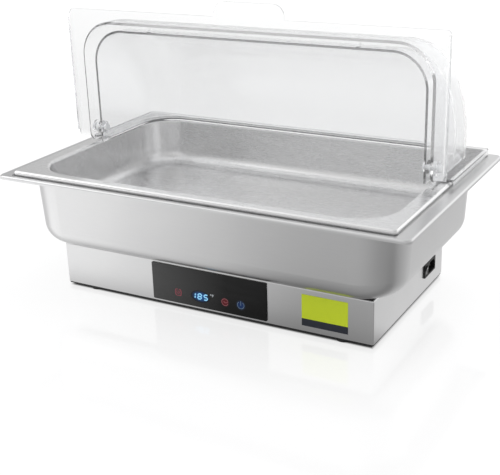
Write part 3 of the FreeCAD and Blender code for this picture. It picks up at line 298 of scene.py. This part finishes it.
moulded_skin, take, give = new_group("moulded_skin", [
    ("Colour", COLOUR, (0.02, 0.02, 0.02, 1.0)), ("Worn Colour", COLOUR, (0.05, 0.05, 0.05, 1.0)),
    ("Grain", VALUE, 900.0), ("Base Roughness", VALUE, 0.5), ("Roughness Spread", VALUE, 0.15)], SURFACE)
place = object_place(moulded_skin)
pores = add_node(moulded_skin, "ShaderNodeTexNoise", {"Vector": place, "Scale": take["Grain"], "Detail": 2.0})
patches = add_node(moulded_skin, "ShaderNodeTexNoise", {"Vector": place, "Scale": 45.0, "Detail": 4.0})
worn = spread(moulded_skin, patches, 0.48, 0.72)
skin = mixed(moulded_skin, worn, take["Colour"], take["Worn Colour"], "RGBA")
rough = varied_roughness(moulded_skin, patches, 0.3, 0.7, take)
moulded_skin.links.new(out(skin), give["Color"])
moulded_skin.links.new(out(rough), give["Roughness"])
moulded_skin.links.new(out(pores), give["Height"])

black_paint = surface("black_painted_sheet", moulded_skin, {
    "Colour": (0.012, 0.012, 0.013, 1.0), "Worn Colour": (0.022, 0.022, 0.023, 1.0),
    "Grain": 1600.0, "Base Roughness": 0.42, "Roughness Spread": 0.18}, 0.15)
dress(black_paint, "base_bottom_plate")


# Feet: four round rubber pucks under the bottom plate, each with a recessed screw.
# The rubber is moulded matt, a little dusty in random patches.
rubber = surface("foot_rubber", moulded_skin, {
    "Colour": (0.018, 0.018, 0.018, 1.0), "Worn Colour": (0.045, 0.043, 0.040, 1.0),
    "Grain": 700.0, "Base Roughness": 0.8, "Roughness Spread": 0.15}, 0.5)
dress(rubber, "feet", "probe_grommet")


# Screws and nuts: zinc-plated steel, turned and stamped, with faint tool marks.
# They hold the feet, the bottom plate, the boards, the heater's clamp and its tray.
plated_skin, take, give = new_group("plated_skin", [
    ("Colour", COLOUR, (0.55, 0.55, 0.56, 1.0)), ("Dull Colour", COLOUR, (0.38, 0.38, 0.38, 1.0)),
    ("Marks", VALUE, 260.0), ("Base Roughness", VALUE, 0.3), ("Roughness Spread", VALUE, 0.2)], SURFACE)
place = object_place(plated_skin)
clouds = add_node(plated_skin, "ShaderNodeTexNoise", {"Vector": place, "Scale": take["Marks"], "Detail": 5.0,
                  "Roughness": 0.7, "Distortion": 0.6})
scratches = add_node(plated_skin, "ShaderNodeTexWave", {"Vector": place, "Scale": 900.0, "Distortion": 9.0,
                     "Detail": 3.0}, bands_direction="DIAGONAL")
dull = spread(plated_skin, clouds, 0.40, 0.70)
skin = mixed(plated_skin, dull, take["Colour"], take["Dull Colour"], "RGBA")
rough = varied_roughness(plated_skin, clouds, 0.3, 0.7, take)
plated_skin.links.new(out(skin), give["Color"])
plated_skin.links.new(out(rough), give["Roughness"])
plated_skin.links.new(out(mixed(plated_skin, 0.35, clouds, out(scratches, "Fac"))), give["Height"])

zinc_screw = surface("zinc_plated_screws", plated_skin, {
    "Colour": (0.56, 0.57, 0.60, 1.0), "Dull Colour": (0.40, 0.40, 0.42, 1.0),
    "Base Roughness": 0.32, "Roughness Spread": 0.22}, 0.25, Metallic=1.0)
dress(zinc_screw, "foot_screws", "foot_nuts", "bottom_screws", "clamp_nuts", "tray_nuts",
      "display_screws", "power_board_screws")


# Base housing: satin stainless sheet folded into an open box, with rolled grain along its length.
# Its top has the opening for the heater plate, its front the window, its right side two cut-outs.
rolled_grain, take, give = new_group("rolled_grain", [
    ("Light Colour", COLOUR, (0.68, 0.68, 0.68, 1.0)), ("Dark Colour", COLOUR, (0.60, 0.60, 0.60, 1.0)),
    ("Stretch", VECTOR, (12.0, 900.0, 900.0)), ("Base Roughness", VALUE, 0.3),
    ("Roughness Spread", VALUE, 0.08)], SURFACE)
place = object_place(rolled_grain)
along = add_node(rolled_grain, "ShaderNodeMapping", {"Vector": place, "Scale": take["Stretch"]})
lines = add_node(rolled_grain, "ShaderNodeTexNoise", {"Vector": along, "Scale": 1.0, "Detail": 5.0,
                 "Roughness": 0.65})
handled = add_node(rolled_grain, "ShaderNodeTexNoise", {"Vector": place, "Scale": 11.0, "Detail": 4.0,
                   "Distortion": 0.8})
tone = mixed(rolled_grain, 0.4, lines, handled)
skin = mixed(rolled_grain, spread(rolled_grain, tone, 0.35, 0.65), take["Dark Colour"],
             take["Light Colour"], "RGBA")
rough = varied_roughness(rolled_grain, tone, 0.35, 0.65, take, half=-0.5)
rolled_grain.links.new(out(skin), give["Color"])
rolled_grain.links.new(out(rough), give["Roughness"])
rolled_grain.links.new(out(lines), give["Height"])

base_sheet = surface("base_satin_stainless", rolled_grain, {
    "Light Colour": (0.68, 0.68, 0.68, 1.0), "Dark Colour": (0.64, 0.64, 0.645, 1.0),
    "Stretch": (50.0, 2000.0, 2000.0), "Base Roughness": 0.30, "Roughness Spread": 0.05}, 0.015, Metallic=1.0)
dress(base_sheet, "base_housing")


# Heater: a cast aluminium plate set in the top, with a sheathed element clamped under it.
# A fibre pad and a pressed zinc-coated tray keep the heat up, and a probe and a cut-out watch it.
cast_plate = surface("cast_aluminium", plated_skin, {
    "Colour": (0.62, 0.62, 0.62, 1.0), "Dull Colour": (0.45, 0.45, 0.44, 1.0),
    "Marks": 420.0, "Base Roughness": 0.52, "Roughness Spread": 0.2}, 0.6, Metallic=1.0)
dress(cast_plate, "heater_plate")
sheath = surface("element_sheath", plated_skin, {
    "Colour": (0.30, 0.31, 0.32, 1.0), "Dull Colour": (0.16, 0.14, 0.12, 1.0),
    "Marks": 90.0, "Base Roughness": 0.45, "Roughness Spread": 0.25}, 0.3, Metallic=1.0)
dress(sheath, "heating_element", "temperature_probe")
zinc_sheet = surface("zinc_coated_sheet", plated_skin, {
    "Colour": (0.60, 0.62, 0.64, 1.0), "Dull Colour": (0.42, 0.44, 0.46, 1.0),
    "Marks": 60.0, "Base Roughness": 0.4, "Roughness Spread": 0.2}, 0.15, Metallic=1.0)
dress(zinc_sheet, "element_clamp", "heater_tray")
fibre = surface("ceramic_fibre_pad", moulded_skin, {
    "Colour": (0.78, 0.77, 0.73, 1.0), "Worn Colour": (0.66, 0.63, 0.56, 1.0),
    "Grain": 420.0, "Base Roughness": 0.95, "Roughness Spread": 0.08}, 1.0)
dress(fibre, "insulation_pad")
black_case = surface("black_moulding", moulded_skin, {
    "Colour": (0.007, 0.007, 0.0075, 1.0), "Worn Colour": (0.013, 0.013, 0.014, 1.0),
    "Grain": 1300.0, "Base Roughness": 0.45, "Roughness Spread": 0.14}, 0.3, Specular_IOR_Level=0.22)
dress(black_case, "thermal_cutout")


# Power board: green lacquered board on nylon posts at the base's left end.
# It carries a wound transformer, a relay, two capacitors and a screw terminal block.
# The display board behind the panel is made the same way, with a black digit module.
board_skin, take, give = new_group("lacquered_board", [
    ("Colour", COLOUR, (0.02, 0.12, 0.05, 1.0)), ("Track Colour", COLOUR, (0.05, 0.22, 0.09, 1.0))], SURFACE)
place = object_place(board_skin)
cells = add_node(board_skin, "ShaderNodeTexVoronoi", {"Vector": place, "Scale": 160.0, "Randomness": 0.6},
                 feature="F1", distance="MANHATTAN")
tracks = spread(board_skin, out(cells, "Distance"), 0.42, 0.48)
skin = mixed(board_skin, tracks, take["Colour"], take["Track Colour"], "RGBA")
board_skin.links.new(out(skin), give["Color"])
board_skin.links.new(out(spread(board_skin, tracks, 0.0, 1.0, 0.32, 0.45)), give["Roughness"])
board_skin.links.new(out(tracks), give["Height"])
dress(surface("green_board", board_skin, {}, 0.2), "power_board", "display_board")
dress(black_case, "display_module")
nylon = surface("white_nylon", moulded_skin, {
    "Colour": (0.72, 0.71, 0.67, 1.0), "Worn Colour": (0.62, 0.60, 0.55, 1.0),
    "Grain": 900.0, "Base Roughness": 0.5, "Roughness Spread": 0.1}, 0.2)
dress(nylon, "power_board_posts", "cable_headers")
dress(surface("transformer_iron", plated_skin, {
    "Colour": (0.10, 0.10, 0.11, 1.0), "Dull Colour": (0.30, 0.16, 0.06, 1.0),
    "Marks": 140.0, "Base Roughness": 0.5, "Roughness Spread": 0.2}, 0.5, Metallic=0.6), "transformer")
dress(surface("relay_case", moulded_skin, {
    "Colour": (0.02, 0.10, 0.32, 1.0), "Worn Colour": (0.03, 0.13, 0.38, 1.0),
    "Grain": 900.0, "Base Roughness": 0.4, "Roughness Spread": 0.1}, 0.2), "relay")
dress(surface("capacitor_sleeve", moulded_skin, {
    "Colour": (0.02, 0.02, 0.06, 1.0), "Worn Colour": (0.05, 0.05, 0.12, 1.0),
    "Grain": 500.0, "Base Roughness": 0.35, "Roughness Spread": 0.1}, 0.15), "capacitors")
dress(surface("terminal_block_green", moulded_skin, {
    "Colour": (0.02, 0.25, 0.08, 1.0), "Worn Colour": (0.03, 0.30, 0.11, 1.0),
    "Grain": 900.0, "Base Roughness": 0.45, "Roughness Spread": 0.1}, 0.2), "terminal_block")


# Leads: round wires in soft covers, from the inlet and the terminal block to the heater, and to earth.
# A flat grey cable joins the two boards. Blades, tabs and the earth screw are nickelled brass,
# and the touch keys have small steel springs behind them.
dress(surface("lead_cover_white", moulded_skin, {
    "Colour": (0.70, 0.69, 0.66, 1.0), "Worn Colour": (0.60, 0.58, 0.54, 1.0),
    "Grain": 500.0, "Base Roughness": 0.55, "Roughness Spread": 0.1}, 0.2),
      "mains_leads", "heater_leads", "probe_lead")
dress(surface("earth_cover_green", moulded_skin, {
    "Colour": (0.04, 0.30, 0.06, 1.0), "Worn Colour": (0.45, 0.42, 0.03, 1.0),
    "Grain": 500.0, "Base Roughness": 0.5, "Roughness Spread": 0.1}, 0.2), "earth_lead")
dress(surface("flat_cable_grey", moulded_skin, {
    "Colour": (0.32, 0.32, 0.33, 1.0), "Worn Colour": (0.40, 0.40, 0.41, 1.0),
    "Grain": 800.0, "Base Roughness": 0.5, "Roughness Spread": 0.1}, 0.3), "display_cable")
dress(surface("nickelled_brass", plated_skin, {
    "Colour": (0.62, 0.58, 0.48, 1.0), "Dull Colour": (0.45, 0.40, 0.30, 1.0),
    "Marks": 300.0, "Base Roughness": 0.28, "Roughness Spread": 0.15}, 0.2, Metallic=1.0),
      "earth_screw", "inlet_pins", "switch_tabs")
dress(surface("key_spring_steel", plated_skin, {
    "Colour": (0.50, 0.50, 0.50, 1.0), "Dull Colour": (0.32, 0.32, 0.32, 1.0),
    "Marks": 300.0, "Base Roughness": 0.3, "Roughness Spread": 0.15}, 0.2, Metallic=1.0), "key_springs")


# Control panel: a black glass strip glued to the front, wiped clean but for faint hand marks.
# The glass's colour runs from dark grey at the left to black at the right, a painted reflection of the room's
# light.
# The lit digits and three lit touch keys shine through it; their shapes stand just on its face.
panel_low, panel_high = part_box("control_glass")
panel_face = panel_low.y
panel_ior = 1.36
painted_reflection_end = panel_low.x + 0.66 * (panel_high.x - panel_low.x)
painted_reflection_grey, painted_reflection_black = grey(0.062), grey(0.001)
hand_mark = (0.025, 0.025, 0.027, 1.0)
sign_thickness = 0.00014
halo_thickness = 0.00006
halo_steps = 48

panel_material, tree = new_material("black_panel_glass")
place = object_place(tree)
wiped = add_node(tree, "ShaderNodeMapping", {"Vector": place, "Scale": (30.0, 30.0, 110.0),
                 "Rotation": (0.0, 0.5, 0.0)})
smears = add_node(tree, "ShaderNodeTexNoise", {"Vector": wiped, "Scale": 1.0, "Detail": 5.0,
                  "Distortion": 0.7})
dust = add_node(tree, "ShaderNodeTexNoise", {"Vector": place, "Scale": 1500.0, "Detail": 1.0})
across = out(add_node(tree, "ShaderNodeSeparateXYZ", {0: place}), "X")
# Painted reflection: the glass's colour fades from dark grey at the left to black at the right.
painted_reflection = mixed(tree, spread(tree, across, panel_low.x, painted_reflection_end), painted_reflection_grey, painted_reflection_black,
                "RGBA")
glass_colour_with_painted_reflection = mixed(tree, spread(tree, smears, 0.45, 0.8, 0.0, 0.15), painted_reflection, hand_mark, "RGBA")
relief = add_node(tree, "ShaderNodeBump", {"Strength": 0.02, "Distance": bump_depth, "Height": dust})
panel_shader = add_node(tree, "ShaderNodeBsdfPrincipled", {"Base Color": glass_colour_with_painted_reflection, "IOR": panel_ior,
                        "Roughness": spread(tree, smears, 0.3, 0.8, 0.08, 0.16), "Normal": relief})
add_node(tree, "ShaderNodeOutputMaterial", {"Surface": panel_shader})
dress(panel_material, "control_glass")


def plates(name, outlines, put, thickness, material, body):
    """Thin plates from closed outlines; put(a, b, away) says where an outline's point stands."""
    mesh = bpy.data.meshes.new(name)
    shape = bmesh.new()
    for outline in outlines:
        front = [shape.verts.new(put(a, b, thickness)) for a, b in outline]
        back = [shape.verts.new(put(a, b, 0.0)) for a, b in outline]
        shape.faces.new(front)
        shape.faces.new(back[::-1])
        for i in range(len(front)):
            j = (i + 1) % len(front)
            shape.faces.new((front[i], back[i], back[j], front[j]))
    bmesh.ops.recalc_face_normals(shape, faces=shape.faces)
    shape.to_mesh(mesh)
    shape.free()
    made = bpy.data.objects.new(name, mesh)
    scene.collection.objects.link(made)
    mesh.materials.append(material)
    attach(made, body)


def flat_sign(name, outlines, material, thickness=sign_thickness):
    """Thin plates on the panel's face from outlines of (x, z) in millimetres."""
    plates(name, outlines, lambda x, z, away: (x / 1000, panel_face - away, z / 1000), thickness,
           material, "base")


weak_share = 0.7
lit_sign, take, give = new_group("lit_sign", [
    ("Light", COLOUR, grey(1.0)), ("Weak Light", COLOUR, grey(weak_share))],
    [("Emission", COLOUR), ("Roughness", VALUE)])
place = object_place(lit_sign)
dots = add_node(lit_sign, "ShaderNodeTexVoronoi", {"Vector": place, "Scale": 2500.0})
glow = add_node(lit_sign, "ShaderNodeTexNoise", {"Vector": place, "Scale": 350.0, "Detail": 2.0})
weakened = spread(lit_sign, mixed(lit_sign, 0.5, out(dots, "Distance"), glow), 0.3, 0.6)
light = mixed(lit_sign, weakened, take["Light"], take["Weak Light"], "RGBA")
lit_sign.links.new(out(light), give["Emission"])
lit_sign.links.new(out(spread(lit_sign, glow, 0.3, 0.7, 0.15, 0.25)), give["Roughness"])


def lit_ink(name, colour, strength):
    """A lamp-lit sign in print: its light is uneven by the screen's fine dots."""
    made, tree = new_material(name)
    weak = tuple(weak_share * part for part in colour[:3]) + (1.0,)
    sign = add_node(tree, "ShaderNodeGroup", {"Light": colour, "Weak Light": weak}, node_tree=lit_sign)
    shader = add_node(tree, "ShaderNodeBsdfPrincipled", {
        "Base Color": grey(0.02), "Emission Color": out(sign, "Emission"),
        "Emission Strength": strength, "Roughness": out(sign, "Roughness")})
    add_node(tree, "ShaderNodeOutputMaterial", {"Surface": shader})
    return made


digit_low, digit_high = 19.0, 27.9
digit_width = 6.7
bar_half = 0.88
bar_gap = 0.1
digit_lean = 0.15
bars_of = {"1": "bc", "8": "abcdefg", "5": "acdfg"}


def bar(x0, z0, x1, z1):
    """Six-sided bar of a lit digit between two points, leaning with the digit."""
    length = math.hypot(x1 - x0, z1 - z0)
    ux, uz = (x1 - x0) / length, (z1 - z0) / length
    ax, az, bx, bz = x0 + ux * bar_gap, z0 + uz * bar_gap, x1 - ux * bar_gap, z1 - uz * bar_gap
    px, pz = -uz * bar_half, ux * bar_half
    qx, qz = ux * bar_half, uz * bar_half
    points = [(ax, az), (ax + qx + px, az + qz + pz), (bx - qx + px, bz - qz + pz),
              (bx, bz), (bx - qx - px, bz - qz - pz), (ax + qx - px, az + qz - pz)]
    return [(x + digit_lean * (z - digit_low), z) for x, z in points]


def digit(character, x):
    """Outlines of one seven-bar digit whose left side stands at x."""
    low, high = digit_low + bar_half, digit_high - bar_half
    middle = (low + high) / 2
    left, right = x + bar_half, x + digit_width - bar_half
    places = {"a": (left, high, right, high), "b": (right, high, right, middle),
              "c": (right, middle, right, low), "d": (left, low, right, low),
              "e": (left, middle, left, low), "f": (left, high, left, middle),
              "g": (left, middle, right, middle)}
    return [bar(*places[b]) for b in bars_of[character]]


def ring(x, z, radius, width, start, end, steps=40):
    """Outline of an arc band round (x, z), from the start to the end angle in degrees."""
    angles = [math.radians(start + (end - start) * k / steps) for k in range(steps + 1)]
    outer, inner = [[(x + r * math.cos(a), z + r * math.sin(a)) for a in angles]
                    for r in (radius + width / 2, radius - width / 2)]
    return outer + inner[::-1]


def stroke(x0, z0, x1, z1, width):
    """Outline of a straight line between two points."""
    length = math.hypot(x1 - x0, z1 - z0)
    px, pz = -(z1 - z0) / length * width / 2, (x1 - x0) / length * width / 2
    return [(x0 + px, z0 + pz), (x1 + px, z1 + pz), (x1 - px, z1 - pz), (x0 - px, z0 - pz)]


def wave(x, low, high, swing, width, turns=1.5, steps=18):
    """Outline of an upright wavy line round x."""
    heights = [low + (high - low) * k / steps for k in range(steps + 1)]
    middle = [x + swing * math.sin(2 * math.pi * turns * k / steps) for k in range(steps + 1)]
    return ([(m - width / 2, z) for m, z in zip(middle, heights)]
            + [(m + width / 2, z) for m, z in zip(middle[::-1], heights[::-1])])


def rounded(points, x, z, radius):
    """Pushes a ring's points out towards a rounded square of that half width."""
    moved = []
    for px, pz in points:
        dx, dz = px - x, pz - z
        grown = (dx ** 2 + dz ** 2) ** 0.5 / (dx ** 4 + dz ** 4) ** 0.25
        moved.append((x + dx * grown, z + dz * grown))
    return moved


lit_film, take, give = new_group("lit_film", [("Light", COLOUR, (0.0, 0.0, 0.1, 1.0))],
                                 [("Color", COLOUR), ("Emission", COLOUR), ("Roughness", VALUE)])
place = out(add_node(lit_film, "ShaderNodeTexCoord"), "Generated")
flat = add_node(lit_film, "ShaderNodeVectorMath", {0: place, 1: (1.0, 0.0, 1.0)}, operation="MULTIPLY")
away = add_node(lit_film, "ShaderNodeVectorMath", {0: flat, 1: (0.5, 0.0, 0.5)}, operation="DISTANCE")
specks = add_node(lit_film, "ShaderNodeTexNoise", {"Vector": place, "Scale": 12.0, "Detail": 2.0})
faded = spread(lit_film, out(away, "Value"), 0.15, 0.5, smooth=True)
film_dark = mixed(lit_film, specks, (0.003, 0.003, 0.004, 1.0), (0.006, 0.006, 0.007, 1.0), "RGBA")
lit_film.links.new(out(film_dark), give["Color"])
lit_film.links.new(out(mixed(lit_film, faded, take["Light"], grey(0.0), "RGBA")), give["Emission"])
lit_film.links.new(out(spread(lit_film, specks, 0.3, 0.7, 0.10, 0.16)), give["Roughness"])


def halo(name, x, z, half_width, half_height, colour):
    """A thin oval film lit from behind, brightest in its middle and dark at its edge, under a sign."""
    material, tree = new_material(name + "_light")
    film = add_node(tree, "ShaderNodeGroup", {"Light": colour}, node_tree=lit_film)
    shader = add_node(tree, "ShaderNodeBsdfPrincipled", {
        "Base Color": out(film, "Color"), "Emission Color": out(film, "Emission"), "Emission Strength": 1.0,
        "Roughness": out(film, "Roughness"), "IOR": panel_ior})
    add_node(tree, "ShaderNodeOutputMaterial", {"Surface": shader})
    flat_sign(name, [[(x + half_width * math.cos(2 * math.pi * k / halo_steps),
                       z + half_height * math.sin(2 * math.pi * k / halo_steps)) for k in range(halo_steps)]],
              material, halo_thickness)


blue_light = lit_ink("display_blue_light", (0.28, 0.68, 1.0, 1.0), 1.15)
flat_sign("display_digits", digit("1", -25.2) + digit("8", -16.1) + digit("5", -7.2), blue_light)
halo("display_halo", -11.0, 23.4, 14.5, 8.4, (0.0, 0.055, 0.200, 1.0))
white_light = lit_ink("display_white_light", (0.70, 0.74, 0.78, 1.0), 0.7)
degree_x, degree_z = 4.4, 28.6
unit_x, unit_low, unit_high, unit_line = degree_x + 2.2, 25.9, 29.4, 0.6
unit_arms = ((29.1, degree_x + 4.4), (27.6, degree_x + 4.0))
flat_sign("degree_sign", [ring(degree_x, degree_z, 0.75, 0.45, 0, 359, 20),
                          stroke(unit_x, unit_low, unit_x, unit_high, unit_line)]
          + [stroke(unit_x + unit_line / 2, z, end, z, unit_line) for z, end in unit_arms], white_light)
red_light = lit_ink("key_red_light", (0.55, 0.065, 0.11, 1.0), 0.50)
heat_x, heat_z = -44.2, 23.2
flat_sign("key_heat", [rounded(ring(heat_x, heat_z, 4.4, 0.75, 100, 440), heat_x, heat_z, 4.4)]
          + [wave(heat_x + k * 2.3, heat_z - 2.6, heat_z + 2.6, 0.5, 0.7) for k in (-1, 0, 1)], red_light)
clock_x, clock_z = 24.9, 22.7
flat_sign("key_clock", [ring(clock_x, clock_z, 4.6, 0.75, 20, 335),
                        stroke(clock_x - 1.8, clock_z + 1.2, clock_x, clock_z - 0.8, 0.75),
                        stroke(clock_x, clock_z - 0.8, clock_x + 4.4, clock_z + 0.2, 0.75)],
          lit_ink("key_pale_red_light", (0.60, 0.15, 0.18, 1.0), 0.44))
halo("clock_halo", clock_x, clock_z, 7.0, 7.0, (0.080, 0.0, 0.003, 1.0))
deep_blue_light = lit_ink("key_blue_light", (0.15, 0.26, 0.41, 1.0), 0.50)
power_x, power_z = 47.6, 23.0
flat_sign("key_power", [ring(power_x, power_z, 4.7, 0.85, 125, 415),
                        stroke(power_x, power_z - 0.6, power_x, power_z + 5.6, 0.9)], deep_blue_light)
halo("power_halo", power_x, power_z, 7.5, 7.5, (0.0, 0.018, 0.085, 1.0))


# Sticker: a printed vinyl label on the front, lime above a black band; both are left bare.
# The print is a little uneven, and the vinyl has a soft gloss.
label_low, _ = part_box("label_plate")
band_top = label_low.z + 0.0096
band_edge = 0.0001

label_material, tree = new_material("lime_vinyl")
place = object_place(tree)
height = out(add_node(tree, "ShaderNodeSeparateXYZ", {0: place}), "Z")
print_noise = add_node(tree, "ShaderNodeTexNoise", {"Vector": place, "Scale": 220.0, "Detail": 4.0})
lime = mixed(tree, print_noise, (0.50, 0.61, 0.008, 1.0), (0.55, 0.66, 0.011, 1.0), "RGBA")
band = mixed(tree, print_noise, (0.010, 0.013, 0.022, 1.0), (0.018, 0.022, 0.034, 1.0), "RGBA")
relief = add_node(tree, "ShaderNodeBump", {"Strength": 0.1, "Distance": bump_depth, "Height": print_noise})
label_shader = add_node(tree, "ShaderNodeBsdfPrincipled", {
    "Base Color": mixed(tree, spread(tree, height, band_top, band_top + band_edge), band, lime, "RGBA"),
    "Roughness": spread(tree, print_noise, 0.3, 0.7, 0.40, 0.50), "Normal": relief})
add_node(tree, "ShaderNodeOutputMaterial", {"Surface": label_shader})
dress(label_material, "label_plate")


# Inlet and switch: black mouldings side by side in the right wall, the socket with three blades.
# The rocker is glossier than its frame, and carries a line and a ring at its two ends.
dress(black_case, "inlet_socket", "switch_frame")
rocker_gloss = surface("rocker_gloss", moulded_skin, {
    "Colour": (0.006, 0.006, 0.006, 1.0), "Worn Colour": (0.011, 0.011, 0.012, 1.0),
    "Grain": 900.0, "Base Roughness": 0.22, "Roughness Spread": 0.1}, 0.1, Specular_IOR_Level=0.30)
dress(rocker_gloss, "switch_rocker")
mark_white = surface("pad_printed_white", moulded_skin, {
    "Colour": (0.75, 0.75, 0.74, 1.0), "Worn Colour": (0.60, 0.60, 0.59, 1.0),
    "Grain": 2500.0, "Base Roughness": 0.5, "Roughness Spread": 0.1}, 0.1)
mark_thickness = 0.00004
line_z, ring_z = 30.2, 36.4
beside_dish_x = 0.3
rocker = nodes["switch_rocker"]
rocker_low, rocker_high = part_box("switch_rocker")
mark_y = 500 * (rocker_low.y + rocker_high.y)
rocker_shape = BVHTree.FromPolygons([rocker.matrix_world @ v.co for v in rocker.data.vertices],
                                    [tuple(f.vertices) for f in rocker.data.polygons])


def on_rocker(y, z, away):
    """The place on the rocker's outer face that stands at (y, z) in millimetres."""
    place, normal, _, _ = rocker_shape.ray_cast(Vector((beside_dish_x, y / 1000, z / 1000)),
                                                Vector((-1.0, 0.0, 0.0)))
    return place + normal * away


plates("switch_line", [stroke(mark_y - 1.3, line_z, mark_y + 1.3, line_z, 0.5)], on_rocker,
       mark_thickness, mark_white, "switch_rocker")
plates("switch_ring", [ring(mark_y, ring_z, 1.1, 0.45, start, start + 30, 4) for start in range(0, 360, 30)],
       on_rocker, mark_thickness, mark_white, "switch_rocker")


# Water pan: deep tub pressed from satin stainless sheet, with drafted walls and wide floor bends.
# Its stepped rim is turned down, and its floor stands on the heater plate.
tub_sheet = surface("tub_satin_stainless", rolled_grain, {
    "Light Colour": (0.675, 0.675, 0.675, 1.0), "Dark Colour": (0.645, 0.645, 0.65, 1.0),
    "Stretch": (50.0, 2000.0, 2000.0), "Base Roughness": 0.30, "Roughness Spread": 0.04}, 0.01, Metallic=1.0)
dress(tub_sheet, "water_pan")


# Food pan: shallower pressed pan with a flat rim, brighter than the tub.
# Its turned-down lip stands on the tub's ledge.
pan_sheet = surface("pan_satin_stainless", rolled_grain, {
    "Light Colour": (0.79, 0.79, 0.79, 1.0), "Dark Colour": (0.77, 0.77, 0.775, 1.0),
    "Stretch": (60.0, 2200.0, 2200.0), "Base Roughness": 0.27, "Roughness Spread": 0.03}, 0.003, Metallic=1.0)
dress(pan_sheet, "food_pan")


# Roll cover: two quarter-round shells of clear polycarbonate, thermoformed, with flat flanges.
# The clear sheet is very slightly grey, darker where it is seen on edge, with faint drawn lines.
# Light caught inside the sheet comes out after some bounces, so that its edges are grey, not black.
sheet_tint, sheet_tint_on_edge = (0.965, 0.968, 0.970, 1.0), (0.91, 0.915, 0.92, 1.0)
sheet_straight_on = (0.93, 0.93, 0.935, 1.0)
first_bounce, last_bounce = 5.0, 7.0

clear_material, tree = new_material("clear_polycarbonate")
rays = add_node(tree, "ShaderNodeLightPath")
place = object_place(tree)
drawn = add_node(tree, "ShaderNodeMapping", {"Vector": place, "Scale": (22.0, 3.0, 3.0)})
waviness = add_node(tree, "ShaderNodeTexNoise", {"Vector": drawn, "Scale": 1.0, "Detail": 2.0})
haze = add_node(tree, "ShaderNodeTexNoise", {"Vector": place, "Scale": 14.0, "Detail": 5.0,
                "Distortion": 0.5})
edge = out(add_node(tree, "ShaderNodeLayerWeight", {"Blend": 0.35}), "Facing")
tint = mixed(tree, spread(tree, edge, 0.35, 1.0, smooth=True), sheet_tint, sheet_tint_on_edge, "RGBA")
relief = add_node(tree, "ShaderNodeBump", {"Strength": 0.02, "Distance": 0.002, "Height": waviness})
clear_shader = add_node(tree, "ShaderNodeBsdfPrincipled", {
    "Base Color": tint, "Transmission Weight": 0.948, "Coat Weight": 0.4, "Coat IOR": 1.5, "IOR": 1.22,
    "Roughness": spread(tree, haze, 0.35, 0.7, 0.02, 0.05), "Normal": relief})
straight_on = add_node(tree, "ShaderNodeBsdfTransparent", {"Color": sheet_straight_on})
caught = spread(tree, out(rays, "Ray Depth"), first_bounce, last_bounce, -0.4, 1.9)
passing = either(tree, out(rays, "Is Shadow Ray"), caught)
add_node(tree, "ShaderNodeOutputMaterial", {"Surface": add_node(tree, "ShaderNodeMixShader",
         {0: passing, 1: clear_shader, 2: straight_on})})
dress(clear_material, "rear_cover", "front_cover")


# Hinge pins: moulded white nylon pins through both cover walls at each end, with washers between.
# Their formed heads are smooth, and the washers share their finish.
dress(surface("pin_white_nylon", moulded_skin, {
    "Colour": (0.84, 0.85, 0.86, 1.0), "Worn Colour": (0.79, 0.80, 0.81, 1.0),
    "Grain": 700.0, "Base Roughness": 0.35, "Roughness Spread": 0.1}, 0.1), "hinge_pins", "hinge_washers")
